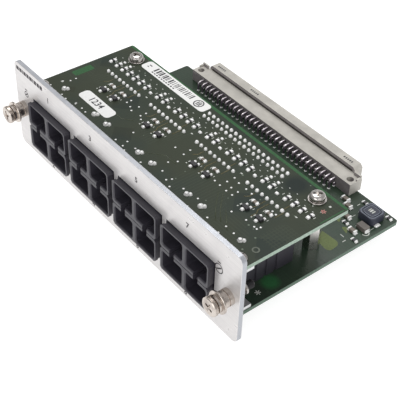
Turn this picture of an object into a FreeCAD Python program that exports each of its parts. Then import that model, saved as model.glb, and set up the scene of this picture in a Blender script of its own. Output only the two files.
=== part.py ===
"""Optical switch line card.

A front panel carries two stacked circuit boards. Between the boards sit eight
duplex fibre modules, four hanging from the upper board and four standing on the
lower one, and their noses come out through the panel. The lower board plugs
into a chassis through a two-row connector at its rear edge.

Frame: X runs along the panel, Y back into the chassis, Z up. The origin is the
centre of the panel's rear face, which seats against the chassis. Millimetres.
"""
import FreeCAD
import Part
import math
import os
from FreeCAD import Vector

# ---- Front panel ----------------------------------------------------------
PANEL_OVERHANG = 5.0           # panel beyond the boards at each end
PANEL_HEIGHT = 38.1
PANEL_THICKNESS = 2.0
PANEL_CORNER_RADIUS = 2.5

# ---- Circuit boards -------------------------------------------------------
BOARD_SIDE_MARGIN = 20.29      # outermost module centre to the boards' side edges
BOARD_THICKNESS = 1.6
BOARD_CORNER_RADIUS = 1.0
BOARD_FRONT_GAP = 2.8          # panel rear face to the boards' front edges
UPPER_BOARD_BACK = 49.4
LOWER_BOARD_BACK = 77.8
STACK_MIDDLE = -2.4            # height midway between the two boards
BOARD_SPACING = 19.2           # clear height between the two boards

# ---- Optical modules ------------------------------------------------------
MODULE_COUNT = 4
MODULE_PITCH = 27.94
MODULE_WIDTH = 24.8
MODULE_STACK_GAP = 0.2         # between an upper module and the one below it
MODULE_PIN_ROW = 30.6          # pin row behind the panel's rear face
MODULE_TAIL = 2.7              # body behind the pin row
MODULE_GROOVE_COUNT = 5
MODULE_GROOVE_WIDTH = 1.2
MODULE_GROOVE_DEPTH = 0.4
MODULE_GROOVE_PITCH = 4.6
NOSE_WIDTH = 25.3
NOSE_HEIGHT = 10.05
NOSE_REACH = 2.6               # nose in front of the panel
NOSE_DEPTH_BEHIND = 2.2        # wide part of the nose behind the panel's rear face
NOSE_CHAMFER = 0.8
NOSE_LIP = 1.1                 # length of the raised lip at the nose's front
NOSE_LIP_STEP = 0.25
NOSE_CLEARANCE = 0.15          # between a nose's lip and its cut-out
PORT_SPACING = 12.7
PORT_WIDTH = 10.6
PORT_HEIGHT = 7.4
PORT_OUTER_WALL = 1.0          # port to the nose's face nearest its board
PORT_DEPTH = 13.4
PORT_CHAMFER = 0.4
PORT_CORNER = 0.8
KEY_WIDTH = 2.5
KEY_DEPTH = 8.0
PIN_COUNT = 9
PIN_PITCH = 2.54
PIN_SIZE = 0.5
PIN_HOLE = 0.9
PIN_PROTRUSION = 0.9           # pins beyond the solder side
POST_SPACING = 20.32
POST_ROW_OFFSET = 20.32        # posts ahead of the pin row
POST_RADIUS = 0.8
POST_HOLE_RADIUS = 1.0

# ---- Port inserts: ferrule sleeve and latch arms --------------------------
INSERT_PLATE = 1.6
INSERT_SIDE_GAP = 0.1
SLEEVE_RADIUS = 2.3
SLEEVE_BORE = 1.25
SLEEVE_RECESS = 4.5            # sleeve tip behind the nose face
ARM_THICKNESS = 0.8
ARM_HEIGHT = 3.2
ARM_GAP = 0.25                 # arm to port wall
ARM_HOOK = 0.55
ARM_HOOK_LENGTH = 1.2

# ---- Board-to-board connector ---------------------------------------------
HEADER_COLUMNS = 18
HEADER_PITCH = 2.54
HEADER_CENTRE_X = 14.68
HEADER_CENTRE_Y = 43.75
HEADER_BASE_HEIGHT = 2.5
SOCKET_HEIGHT = 8.5
SOCKET_WALL = 1.25
SOCKET_LEAD_START = 3.0        # lead's lower end below the upper board
HEADER_PIN_ENGAGEMENT = 5.0    # header pin inside the socket
CONTACT_SIZE = 0.64
CAVITY_SIZE = 1.0

# ---- Rear standoffs and their screws --------------------------------------
STANDOFF_INSET = 10.0          # standoff axis to the boards' side edges
STANDOFF_Y = 44.0
STANDOFF_FLATS = 5.5
SCREW_RADIUS = 1.5
SCREW_HOLE_RADIUS = 1.6
SCREW_HEAD_RADIUS = 2.75
SCREW_HEAD_HEIGHT = 2.2
SCREW_LENGTH = 6.0
WASHER_RADIUS = 3.3
WASHER_THICKNESS = 0.6
TAPPED_DEPTH = 6.0
TAPPED_CLEARANCE = 0.05

# ---- Panel brackets -------------------------------------------------------
BRACKET_THICKNESS = 1.5
BRACKET_WIDTH = 7.0
BRACKET_OUTER_GAP = 0.2        # inside the boards' side edges
BRACKET_BEND_RADIUS = 0.6
BRACKET_NOTCH_RADIUS = 3.2
BRACKET_WAIST_INSET = 2.3      # outer edge cut back between the tabs
BRACKET_UPPER_EAR = 3.0        # uncut height below the upper board
BRACKET_LOWER_EAR = 4.6        # uncut height above the lower board
TAB_LENGTH = 8.0
TAB_SCREW_Y = 5.0
TAB_SCREW_LENGTH = 4.2
TAB_SCREW_RADIUS = 1.25
TAB_SCREW_HOLE_RADIUS = 1.35
TAB_HEAD_RADIUS = 2.4
TAB_HEAD_HEIGHT = 1.7
STUD_INSET = 2.2               # stud axis from the bracket's inner edge
STUD_UPPER_Z = 2.9
STUD_LOWER_Z = -7.6
STUD_RADIUS = 1.0
STUD_HOLE_RADIUS = 1.1
STUD_HEAD_RADIUS = 1.9
STUD_HEAD_DEPTH = 0.9
STUD_SEAT_CLEARANCE = 0.03     # stud to its hole in the panel
STUD_LENGTH = 4.2              # beyond the panel's rear face
NUT_FLATS = 4.0
NUT_THICKNESS = 1.6
NUT_CLEARANCE = 0.05

# ---- Captive panel screws -------------------------------------------------
CAPTIVE_INSET = 5.2            # screw axis to the panel's ends
CAPTIVE_Z = -0.6
CAPTIVE_SHANK_RADIUS = 1.5
CAPTIVE_NECK_RADIUS = 1.15
CAPTIVE_FLANGE_RADIUS = 4.2    # rim at the back of the head
CAPTIVE_FLANGE_THICKNESS = 0.8
CAPTIVE_BARREL_RADIUS = 3.3
CAPTIVE_HEAD_RADIUS = 3.5      # knurled front of the head
CAPTIVE_HEAD_THICKNESS = 1.5
CAPTIVE_HEAD_LENGTH = 4.2
CAPTIVE_HEAD_CHAMFER = 0.4
CAPTIVE_GROOVE_RADIUS = 2.9
CAPTIVE_GROOVE_WIDTH = 0.35
CAPTIVE_HEAD_GAP = 0.5         # head to ferrule, as it rests
CAPTIVE_TIP = 8.0              # screw tip behind the panel's rear face
CAPTIVE_TIP_CHAMFER = 0.5
RECESS_WIDTH = 0.9
RECESS_LENGTH = 4.0
RECESS_DEPTH = 1.4
FERRULE_RADIUS = 3.1
FERRULE_LENGTH = 3.5
FERRULE_SEAT_RADIUS = 2.4
FERRULE_SEAT_CLEARANCE = 0.05
FERRULE_BORE_RADIUS = 1.58
FERRULE_GROOVE_WIDTH = 0.5
FERRULE_GROOVE_DEPTH = 0.35
RING_RADIUS = 2.3
RING_THICKNESS = 0.6
RING_REST = 3.7                # ring's front face behind the panel's rear face
RING_RUNNING_CLEARANCE = 0.05
RING_SIDE_CLEARANCE = 0.05

# ---- Backplane connector --------------------------------------------------
BACKPLANE_COLUMNS = 32
BACKPLANE_PITCH = 2.54
BACKPLANE_LENGTH = 94.0
BACKPLANE_SIDE_MARGIN = 20.6   # connector's right end to the board's side edge
BASE_HEIGHT = 5.1              # long base with the ears, above the board
BASE_FRONT_SETBACK = 4.7       # base's front face ahead of the board's rear edge
BASE_REACH = 1.5               # base beyond the board's rear edge
EAR_HOLE_SPACING = 88.9
EAR_HOLE_RADIUS = 1.4
EAR_HOLE_SETBACK = 2.2         # hole centre ahead of the board's rear edge
SHROUD_REACH = 5.6             # shroud's mouth beyond the board's rear edge
SHROUD_LENGTH = 86.0
SHROUD_HEIGHT = 8.4
SHROUD_TOP = 7.3               # above the board
SHROUD_WALL = 1.3
SHROUD_CORNER = 1.2
BOARD_EDGE_GAP = 0.3           # board's rear edge to the base's step
LEAD_ROW_HEIGHTS = (1.2, 3.74)  # above the board
LEAD_FRONT_SETBACK = 7.6       # upper row's board holes ahead of the rear edge
LEAD_SIZE = 0.6
LEAD_BEND_RADII = (0.2, 0.9)   # lower row, upper row; inside of the bend
LEAD_SLOT = 0.9
LEAD_TIP_RECESS = 1.0          # blade tips inside the shroud's mouth

# ---- Parts on the lower board ---------------------------------------------
# Power parts are placed by their distance in from its right side and rear edges.
INDUCTOR_PLACE = (7.1, 6.9)
INDUCTOR_SIZE = 7.4
INDUCTOR_HEIGHT = 3.4
INDUCTOR_CORNER = 1.5
INDUCTOR_BORE_RADIUS = 3.1
INDUCTOR_CORE_CLEARANCE = 0.2
INDUCTOR_FLANGE = 0.8
INDUCTOR_SPOOL_RADIUS = 1.6
TANTALUM_SIZE = (4.2, 2.8, 1.9)
TANTALUM_PLACES = ((4.7, 13.4), (17.6, 19.2))
CERAMIC_SIZE = (3.2, 1.6, 1.2)
CERAMIC_PLACES = ((19.6, 7.2), (16.4, 9.2), (12.6, 13.6), (6.0, 17.4))
RESISTOR_SIZE = (2.0, 1.25, 0.6)
RESISTOR_PLACES = ((13.9, 2.8), (15.4, 12.2), (10.6, 16.2), (2.2, 20.2), (2.8, 1.9))
DRIVER_SIZE = (7.5, 12.8, 2.4)
DRIVER_COUNT = 5
DRIVER_PITCH = 17.0
DRIVER_FIRST_X = -42.0
DRIVER_Y = 56.6
DRIVER_CHAMFER = 0.5
PHY_SIZE = 14.0
PHY_HEIGHT = 1.6
PHY_PLACES = ((-40.5, 42.5), (-23.0, 42.5))

# ---- Parts on the upper board's solder side -------------------------------
CLUSTER_OFFSETS = (-0.8, 6.2)  # the two driver stages beside each module's centre
FILTER_SIZE = (2.0, 1.25, 0.7)
FILTER_Y = 26.1
TRANSISTOR_SIZE = (2.9, 1.5, 1.0)
TRANSISTOR_Y = 21.8
NETWORK_SIZE = (1.25, 1.5, 0.6)
NETWORK_COUNT = 31
NETWORK_PITCH = 3.81
NETWORK_Y = 36.2
NETWORK_EMPTY = (7, 10, 15, 18, 23, 26)  # places of the row with no resistor

# ---- Labels ---------------------------------------------------------------
LABEL_THICKNESS = 0.1
LONG_LABEL_X = (-48.4, -9.4)
LONG_LABEL_Y = (43.0, 48.6)
SHORT_LABEL_X = (-46.4, -27.0)
SHORT_LABEL_Y = (12.3, 17.6)
SHORT_LABEL_CORNER = 1.8
LONG_LABEL_CORNER = 1.6

# ---- Derived places -------------------------------------------------------
BOARD_WIDTH = MODULE_PITCH * (MODULE_COUNT - 1) + 2 * BOARD_SIDE_MARGIN
PANEL_LENGTH = BOARD_WIDTH + 2 * PANEL_OVERHANG
CAPTIVE_X = PANEL_LENGTH / 2 - CAPTIVE_INSET
STANDOFF_X = BOARD_WIDTH / 2 - STANDOFF_INSET
BACKPLANE_CENTRE_X = BOARD_WIDTH / 2 - BACKPLANE_SIDE_MARGIN - BACKPLANE_LENGTH / 2
LOWER_TOP = STACK_MIDDLE - BOARD_SPACING / 2
UPPER_UNDER = STACK_MIDDLE + BOARD_SPACING / 2
UPPER_TOP = UPPER_UNDER + BOARD_THICKNESS
LOWER_UNDER = LOWER_TOP - BOARD_THICKNESS
PANEL_FRONT = -PANEL_THICKNESS
NOSE_FRONT = PANEL_FRONT - NOSE_REACH
MODULE_BACK = MODULE_PIN_ROW + MODULE_TAIL
POST_ROW = MODULE_PIN_ROW - POST_ROW_OFFSET
MODULE_HEIGHT = (BOARD_SPACING - MODULE_STACK_GAP) / 2
BRACKET_OUTER = BOARD_WIDTH / 2 - BRACKET_OUTER_GAP
BRACKET_INNER = BRACKET_OUTER - BRACKET_WIDTH
TAB_SCREW_X = (BRACKET_OUTER + BRACKET_INNER) / 2
STUD_X = BRACKET_INNER + STUD_INSET
HEAD_BACK = PANEL_FRONT - FERRULE_LENGTH - CAPTIVE_HEAD_GAP
LEFT, RIGHT = -1, 1


# ---- Small helpers --------------------------------------------------------
def box(x_range, y_range, z_range):
    """Rectangular block between the given limits."""
    low = Vector(x_range[0], y_range[0], z_range[0])
    size = [high - start for start, high in (x_range, y_range, z_range)]
    return Part.makeBox(size[0], size[1], size[2], low)


def centred(centre, size):
    """The (low, high) pair of a span of the given size about a centre."""
    return (centre - size / 2, centre + size / 2)


def upright(radius, x, y, z_range):
    """Vertical cylinder."""
    return Part.makeCylinder(radius, z_range[1] - z_range[0], Vector(x, y, z_range[0]))


def lengthwise(radius, x, z, y_range):
    """Cylinder whose axis runs front to back."""
    length = y_range[1] - y_range[0]
    return Part.makeCylinder(radius, length, Vector(x, y_range[0], z), Vector(0, 1, 0))


def turned(profile, x, z):
    """Solid of revolution about a front-to-back axis from (radius, y) points."""
    points = [Vector(x + radius, y, z) for radius, y in profile]
    face = Part.Face(Part.makePolygon(points + points[:1]))
    return face.revolve(Vector(x, 0, z), Vector(0, 1, 0), 360)


def hexagonal(flats, centre, axis, length):
    """Hexagonal bar; centre is on its first face and axis is a unit vector."""
    radius = flats / math.sqrt(3)
    side = Vector(1, 0, 0)
    up = axis.cross(side)
    corners = []
    for index in range(6):
        angle = math.radians(60 * index)
        corners.append(centre + side * (radius * math.cos(angle)) + up * (radius * math.sin(angle)))
    face = Part.Face(Part.makePolygon(corners + corners[:1]))
    return face.extrude(axis * length)


def rounded_block(x_range, y_range, z_range, radius):
    """Block with its four vertical edges rounded."""
    block = box(x_range, y_range, z_range)
    edges = [edge for edge in block.Edges if is_along(edge, Vector(0, 0, 1))]
    return block.makeFillet(radius, edges)


def is_along(edge, direction):
    """True for a straight edge that runs along the direction."""
    if len(edge.Vertexes) < 2:
        return False
    span = edge.Vertexes[1].Point - edge.Vertexes[0].Point
    return span.cross(direction).Length < 1e-6


def joined(shapes):
    """One solid from touching shapes."""
    result = shapes[0]
    if len(shapes) > 1:
        result = shapes[0].fuse(shapes[1:])
    return result.removeSplitter()


def without(shape, tools):
    """The shape with all the tools cut away."""
    if not tools:
        return shape
    return shape.cut(Part.makeCompound(tools))


def mirrored(shape):
    """The same shape on the other side of the card's middle plane."""
    return shape.mirror(Vector(0, 0, 0), Vector(1, 0, 0))


def save(name, shapes):
    """Write one node; a list becomes a group of separate solids."""
    shape = Part.makeCompound(shapes) if isinstance(shapes, list) else shapes
    shape.exportStep("parts/" + name + ".step")


# ---- Places that several pieces share -------------------------------------
def module_centres():
    """X of each module column, from left to right."""
    first = -MODULE_PITCH * (MODULE_COUNT - 1) / 2
    return [first + MODULE_PITCH * index for index in range(MODULE_COUNT)]


def pin_places():
    """X, Y of every module pin."""
    half = PIN_PITCH * (PIN_COUNT - 1) / 2
    return [(x - half + PIN_PITCH * index, MODULE_PIN_ROW)
            for x in module_centres() for index in range(PIN_COUNT)]


def post_places(x):
    """X, Y of the two locating posts of the module at x."""
    return [(x + side * POST_SPACING / 2, POST_ROW) for side in (LEFT, RIGHT)]


def header_places():
    """X, Y of every contact of the board-to-board connector."""
    half = HEADER_PITCH * (HEADER_COLUMNS - 1) / 2
    rows = (HEADER_CENTRE_Y - HEADER_PITCH / 2, HEADER_CENTRE_Y + HEADER_PITCH / 2)
    return [(HEADER_CENTRE_X - half + HEADER_PITCH * column, row)
            for row in rows for column in range(HEADER_COLUMNS)]


def backplane_columns():
    """X of every contact column of the rear connector."""
    half = BACKPLANE_PITCH * (BACKPLANE_COLUMNS - 1) / 2
    return [BACKPLANE_CENTRE_X - half + BACKPLANE_PITCH * index
            for index in range(BACKPLANE_COLUMNS)]


def lead_hole_y(row):
    """Y of a contact row's board holes; the upper row lands furthest forward."""
    return LOWER_BOARD_BACK - LEAD_FRONT_SETBACK + BACKPLANE_PITCH * (1 - row)


def standoff_places():
    """X, Y of the two rear standoffs."""
    return [(side * STANDOFF_X, STANDOFF_Y) for side in (LEFT, RIGHT)]


def tab_screw_places():
    """X, Y of the bracket screws, the same in both boards."""
    return [(side * TAB_SCREW_X, TAB_SCREW_Y) for side in (LEFT, RIGHT)]


def stud_places():
    """X, Z of the four studs that hold the brackets to the panel."""
    return [(side * STUD_X, z) for side in (LEFT, RIGHT) for z in (STUD_LOWER_Z, STUD_UPPER_Z)]


# ---- Panel ----------------------------------------------------------------
def front_panel():
    """Flat plate with a cut-out for each pair of noses and holes for its fasteners."""
    plate = box(centred(0, PANEL_LENGTH), (PANEL_FRONT, 0), centred(0, PANEL_HEIGHT))
    edges = [edge for edge in plate.Edges if is_along(edge, Vector(0, 1, 0))]
    plate = plate.makeFillet(PANEL_CORNER_RADIUS, edges)
    cut_width = NOSE_WIDTH + 2 * NOSE_CLEARANCE
    cut_height = 2 * NOSE_HEIGHT + MODULE_STACK_GAP + 2 * NOSE_CLEARANCE
    through = (PANEL_FRONT - 1, 1)
    seat = FERRULE_SEAT_RADIUS + FERRULE_SEAT_CLEARANCE
    tools = [box(centred(x, cut_width), through, centred(STACK_MIDDLE, cut_height))
             for x in module_centres()]
    for side in (LEFT, RIGHT):
        tools.append(lengthwise(seat, side * CAPTIVE_X, CAPTIVE_Z, through))
    for x, z in stud_places():
        tools.append(lengthwise(STUD_HEAD_RADIUS + STUD_SEAT_CLEARANCE, x, z,
                                (-STUD_HEAD_DEPTH, 1)))
    return without(plate, tools)


# ---- Boards ---------------------------------------------------------------
def board(z_range, back, hole_tools):
    """Rectangular board with its holes."""
    plate = rounded_block(centred(0, BOARD_WIDTH), (BOARD_FRONT_GAP, back), z_range,
                          BOARD_CORNER_RADIUS)
    return without(plate, hole_tools)


def square_hole(size, x, y, z_range):
    """Square prism that clears one contact through a board."""
    return box(centred(x, size), centred(y, size), (z_range[0] - 1, z_range[1] + 1))


def shared_board_holes(z_range):
    """Holes that both boards have: modules, header, standoffs and brackets."""
    drill = (z_range[0] - 1, z_range[1] + 1)
    tools = [square_hole(PIN_HOLE, x, y, z_range) for x, y in pin_places()]
    tools += [square_hole(CAVITY_SIZE, x, y, z_range) for x, y in header_places()]
    tools += [upright(POST_HOLE_RADIUS, x, y, drill)
              for centre in module_centres() for x, y in post_places(centre)]
    tools += [upright(SCREW_HOLE_RADIUS, x, y, drill) for x, y in standoff_places()]
    tools += [upright(TAB_SCREW_HOLE_RADIUS, x, y, drill) for x, y in tab_screw_places()]
    return tools


def upper_board():
    """Board that carries the upper modules on its underside."""
    z_range = (UPPER_UNDER, UPPER_TOP)
    return board(z_range, UPPER_BOARD_BACK, shared_board_holes(z_range))


def lower_board():
    """Longer board that carries the lower modules and the rear connector."""
    z_range = (LOWER_UNDER, LOWER_TOP)
    tools = shared_board_holes(z_range)
    for row in range(len(LEAD_ROW_HEIGHTS)):
        tools += [square_hole(LEAD_SLOT, x, lead_hole_y(row), z_range)
                  for x in backplane_columns()]
    hole_y = LOWER_BOARD_BACK - EAR_HOLE_SETBACK
    tools += [upright(EAR_HOLE_RADIUS, BACKPLANE_CENTRE_X + side * EAR_HOLE_SPACING / 2, hole_y,
                      (LOWER_UNDER - 1, LOWER_TOP + 1)) for side in (LEFT, RIGHT)]
    return board(z_range, LOWER_BOARD_BACK, tools)


# ---- Optical modules ------------------------------------------------------
def port_centre_height():
    """Height of the port axes above the plane between the two module rows."""
    return MODULE_STACK_GAP / 2 + NOSE_HEIGHT - PORT_OUTER_WALL - PORT_HEIGHT / 2


def module_at_rest():
    """Upper module at X = 0, with Z measured up from the plane between the rows."""
    near = MODULE_STACK_GAP / 2
    body = box(centred(0, MODULE_WIDTH), (0, MODULE_BACK), (near, near + MODULE_HEIGHT))
    lip_back = NOSE_FRONT + NOSE_LIP
    lip = nose_block(NOSE_WIDTH, (NOSE_FRONT, lip_back), (near, near + NOSE_HEIGHT))
    trunk = nose_block(NOSE_WIDTH - 2 * NOSE_LIP_STEP, (lip_back, NOSE_DEPTH_BEHIND),
                       (near, near + NOSE_HEIGHT - NOSE_LIP_STEP))
    posts = [upright(POST_RADIUS, x, y,
                     (near + MODULE_HEIGHT - 1,
                      near + MODULE_HEIGHT + BOARD_THICKNESS + PIN_PROTRUSION))
             for x, y in post_places(0)]
    tools = []
    for side in (LEFT, RIGHT):
        x = side * PORT_SPACING / 2
        tools += port_tools(x)
        tools += groove_tools(side)
    return without(joined([body, trunk, lip] + posts), tools)


def nose_block(width, y_range, z_range):
    """One length of a nose, with its four long edges bevelled."""
    block = box(centred(0, width), y_range, z_range)
    long_edges = [edge for edge in block.Edges if is_along(edge, Vector(0, 1, 0))]
    return block.makeChamfer(NOSE_CHAMFER, long_edges)


def port_tools(x):
    """Cutters of one port: the socket, its flared mouth and its key slot."""
    z = port_centre_height()
    outline = rounded_rectangle(x, z, PORT_WIDTH, PORT_HEIGHT, PORT_CORNER, NOSE_FRONT)
    socket = Part.Face(outline).extrude(Vector(0, PORT_DEPTH, 0))
    key = box(centred(x, KEY_WIDTH), (NOSE_FRONT, NOSE_FRONT + KEY_DEPTH), (0, z))
    mouth = flared_mouth(x, z)
    return [socket, key, mouth]


def flared_mouth(x, z):
    """Cutter that bevels a port's mouth."""
    outer = rounded_rectangle(x, z, PORT_WIDTH + 2 * PORT_CHAMFER,
                              PORT_HEIGHT + 2 * PORT_CHAMFER, PORT_CORNER + PORT_CHAMFER,
                              NOSE_FRONT)
    inner = rounded_rectangle(x, z, PORT_WIDTH, PORT_HEIGHT, PORT_CORNER,
                              NOSE_FRONT + PORT_CHAMFER)
    return Part.makeLoft([outer, inner], True)


def rounded_rectangle(x, z, width, height, radius, y):
    """Closed wire that faces front to back, with round corners."""
    corners = []
    for index, (side, up) in enumerate(((1, 1), (-1, 1), (-1, -1), (1, -1))):
        centre = Vector(x + side * (width / 2 - radius), y, z + up * (height / 2 - radius))
        angles = [math.radians(90 * index + step) for step in (0, 45, 90)]
        corners.append([centre + Vector(math.cos(angle), 0, math.sin(angle)) * radius
                        for angle in angles])
    edges = []
    for index, corner in enumerate(corners):
        following = corners[(index + 1) % len(corners)]
        edges.append(Part.Arc(corner[0], corner[1], corner[2]).toShape())
        edges.append(Part.LineSegment(corner[2], following[0]).toShape())
    return Part.Wire(edges)


def groove_tools(side):
    """Cutters of the upright grooves along one side of a module's body."""
    edge = side * MODULE_WIDTH / 2
    first = NOSE_DEPTH_BEHIND + MODULE_GROOVE_PITCH
    tools = []
    for index in range(MODULE_GROOVE_COUNT):
        y = first + MODULE_GROOVE_PITCH * index
        tools.append(box(centred(edge, 2 * MODULE_GROOVE_DEPTH), centred(y, MODULE_GROOVE_WIDTH),
                         (0, MODULE_STACK_GAP / 2 + MODULE_HEIGHT)))
    return tools


def port_insert_at_rest(x):
    """Moulding at the back of one port: plate, ferrule sleeve and two latch arms."""
    z = port_centre_height()
    back = NOSE_FRONT + PORT_DEPTH
    front = back - INSERT_PLATE
    tip = NOSE_FRONT + SLEEVE_RECESS
    outline = rounded_rectangle(x, z, PORT_WIDTH - 2 * INSERT_SIDE_GAP,
                                PORT_HEIGHT - 2 * INSERT_SIDE_GAP,
                                PORT_CORNER - INSERT_SIDE_GAP, front)
    plate = Part.Face(outline).extrude(Vector(0, back - front, 0))
    sleeve = lengthwise(SLEEVE_RADIUS, x, z, (tip, front))
    pieces = [plate, sleeve]
    for side in (LEFT, RIGHT):
        outer = x + side * (PORT_WIDTH / 2 - ARM_GAP)
        inner = outer - side * ARM_THICKNESS
        hook = inner - side * ARM_HOOK
        pieces.append(box(sorted((inner, outer)), (tip, front), centred(z, ARM_HEIGHT)))
        pieces.append(box(sorted((hook, outer)), (tip, tip + ARM_HOOK_LENGTH),
                          centred(z, ARM_HEIGHT)))
    bore = lengthwise(SLEEVE_BORE, x, z, (tip - 1, front + INSERT_PLATE / 2))
    return without(joined(pieces), [bore])


def place_module_piece(shape, x, is_upper):
    """Move a module piece to its column, turned over for the lower row."""
    placed = shape.copy()
    if not is_upper:
        placed = placed.mirror(Vector(0, 0, 0), Vector(0, 0, 1))
    placed.translate(Vector(x, 0, STACK_MIDDLE))
    return placed


def module_pins(is_upper):
    """All the pins of one row of modules, through their board."""
    if is_upper:
        z_range = (UPPER_UNDER, UPPER_TOP + PIN_PROTRUSION)
    else:
        z_range = (LOWER_UNDER - PIN_PROTRUSION, LOWER_TOP)
    return [box(centred(x, PIN_SIZE), centred(y, PIN_SIZE), z_range) for x, y in pin_places()]


def save_modules():
    """Write the eight modules, their port inserts and their pins."""
    module = module_at_rest()
    inserts = [port_insert_at_rest(side * PORT_SPACING / 2) for side in (LEFT, RIGHT)]
    for row, is_upper in (("upper", True), ("lower", False)):
        for index, x in enumerate(module_centres()):
            label = row + "_module_" + str(index + 1)
            save(label, place_module_piece(module, x, is_upper))
            save(label + "_port_inserts",
                 [place_module_piece(insert, x, is_upper) for insert in inserts])
        save(row + "_module_pins", module_pins(is_upper))


# ---- Board-to-board connector ---------------------------------------------
def header_block(z_range, cavity):
    """Insulator of the header or the socket, with a square hole for each contact."""
    length = HEADER_PITCH * HEADER_COLUMNS
    depth = HEADER_PITCH + 2 * SOCKET_WALL
    block = box(centred(HEADER_CENTRE_X, length), centred(HEADER_CENTRE_Y, depth), z_range)
    return without(block, [square_hole(cavity, x, y, z_range) for x, y in header_places()])


def header_contacts(z_range):
    """One straight contact at each place of the connector."""
    return [box(centred(x, CONTACT_SIZE), centred(y, CONTACT_SIZE), z_range)
            for x, y in header_places()]


def save_board_connector():
    """Write the socket under the upper board and the pin header below it."""
    socket_under = UPPER_UNDER - SOCKET_HEIGHT
    save("socket_body", header_block((socket_under, UPPER_UNDER), CAVITY_SIZE))
    save("socket_leads", header_contacts((UPPER_UNDER - SOCKET_LEAD_START,
                                          UPPER_TOP + PIN_PROTRUSION)))
    save("header_base", header_block((LOWER_TOP, LOWER_TOP + HEADER_BASE_HEIGHT), CAVITY_SIZE))
    save("header_pins", header_contacts((LOWER_UNDER - PIN_PROTRUSION,
                                         socket_under + HEADER_PIN_ENGAGEMENT)))


# ---- Standoffs, brackets and their fasteners ------------------------------
def standoff(x, y):
    """Hexagonal standoff tapped at both ends."""
    bar = hexagonal(STANDOFF_FLATS, Vector(x, y, LOWER_TOP), Vector(0, 0, 1), BOARD_SPACING)
    radius = SCREW_RADIUS + TAPPED_CLEARANCE
    tools = [upright(radius, x, y, (LOWER_TOP, LOWER_TOP + TAPPED_DEPTH)),
             upright(radius, x, y, (UPPER_UNDER - TAPPED_DEPTH, UPPER_UNDER))]
    return without(bar, tools)


def pan_screw(x, y, seat, up, shank_radius, length, head_radius, head_height):
    """Pan-head screw with a cross recess; up is +1 for a head on top, -1 below."""
    profile = [Vector(0, 0, -length), Vector(shank_radius, 0, -length), Vector(shank_radius, 0, 0),
               Vector(head_radius, 0, 0), Vector(head_radius, 0, head_height * 0.45)]
    crown = Vector(0, 0, head_height)
    shoulder = Vector(head_radius * 0.72, 0, head_height * 0.88)
    edges = [Part.LineSegment(start, end).toShape() for start, end in zip(profile, profile[1:])]
    edges.append(Part.Arc(profile[-1], shoulder, crown).toShape())
    edges.append(Part.LineSegment(crown, profile[0]).toShape())
    screw = Part.Face(Part.Wire(edges)).revolve(Vector(0, 0, 0), Vector(0, 0, 1), 360)
    slot_width = head_radius * 0.24
    slot_length = head_radius * 1.15
    top = (head_height * 0.45, head_height + 1)
    cross = [box(centred(0, slot_length), centred(0, slot_width), top),
             box(centred(0, slot_width), centred(0, slot_length), top)]
    screw = without(screw, cross)
    if up < 0:
        screw = screw.mirror(Vector(0, 0, 0), Vector(0, 0, 1))
    screw.translate(Vector(x, y, seat))
    return screw


def standoff_screws(up):
    """The two screws at the top or the bottom of the standoffs."""
    if up > 0:
        seat = UPPER_TOP + WASHER_THICKNESS
    else:
        seat = LOWER_UNDER - WASHER_THICKNESS
    return [pan_screw(x, y, seat, up, SCREW_RADIUS, SCREW_LENGTH, SCREW_HEAD_RADIUS,
                      SCREW_HEAD_HEIGHT) for x, y in standoff_places()]


def washers():
    """Flat washers under the standoff screws' heads."""
    rings = []
    for x, y in standoff_places():
        for low in (UPPER_TOP, LOWER_UNDER - WASHER_THICKNESS):
            z_range = (low, low + WASHER_THICKNESS)
            disc = upright(WASHER_RADIUS, x, y, z_range)
            rings.append(disc.cut(upright(SCREW_HOLE_RADIUS, x, y, z_range)))
    return rings


def bracket():
    """Right-hand channel that ties both boards to the panel."""
    top = UPPER_UNDER
    low = LOWER_TOP
    wall = BRACKET_THICKNESS
    outline = [(TAB_LENGTH, top), (0, top), (0, low), (TAB_LENGTH, low),
               (TAB_LENGTH, low + wall), (wall, low + wall), (wall, top - wall),
               (TAB_LENGTH, top - wall)]
    points = [Vector(BRACKET_INNER, y, z) for y, z in outline]
    channel = Part.Face(Part.makePolygon(points + points[:1])).extrude(Vector(BRACKET_WIDTH, 0, 0))
    outer_bends = [edge for edge in channel.Edges
                   if is_along(edge, Vector(1, 0, 0)) and abs(edge.Vertexes[0].Y) < 1e-6]
    channel = channel.makeFillet(BRACKET_BEND_RADIUS + wall, outer_bends)
    inner_bends = [edge for edge in channel.Edges
                   if is_along(edge, Vector(1, 0, 0)) and is_inner_bend(edge, wall)]
    channel = channel.makeFillet(BRACKET_BEND_RADIUS, inner_bends)
    deep = (-1, wall + 1)
    tools = [lengthwise(BRACKET_NOTCH_RADIUS, CAPTIVE_X, CAPTIVE_Z, deep),
             box((BRACKET_OUTER - BRACKET_WAIST_INSET, BRACKET_OUTER + 1), deep,
                 (low + BRACKET_LOWER_EAR, top - BRACKET_UPPER_EAR))]
    tools += [lengthwise(STUD_HOLE_RADIUS, STUD_X, z, deep) for z in (STUD_LOWER_Z, STUD_UPPER_Z)]
    tools.append(upright(TAB_SCREW_RADIUS + TAPPED_CLEARANCE, TAB_SCREW_X, TAB_SCREW_Y,
                         (low - 1, top + 1)))
    return without(channel, tools)


def is_inner_bend(edge, wall):
    """True for the bracket's two inside bend lines."""
    point = edge.Vertexes[0].Point
    at_web = abs(point.y - wall) < 1e-6
    at_tab = min(abs(point.z - (UPPER_UNDER - wall)), abs(point.z - (LOWER_TOP + wall))) < 1e-6
    return at_web and at_tab


def bracket_screws():
    """Four screws that hold the boards to the bracket tabs."""
    screws = []
    for x, y in tab_screw_places():
        for seat, up in ((UPPER_TOP, 1), (LOWER_UNDER, -1)):
            screws.append(pan_screw(x, y, seat, up, TAB_SCREW_RADIUS, TAB_SCREW_LENGTH,
                                    TAB_HEAD_RADIUS, TAB_HEAD_HEIGHT))
    return screws


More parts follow.
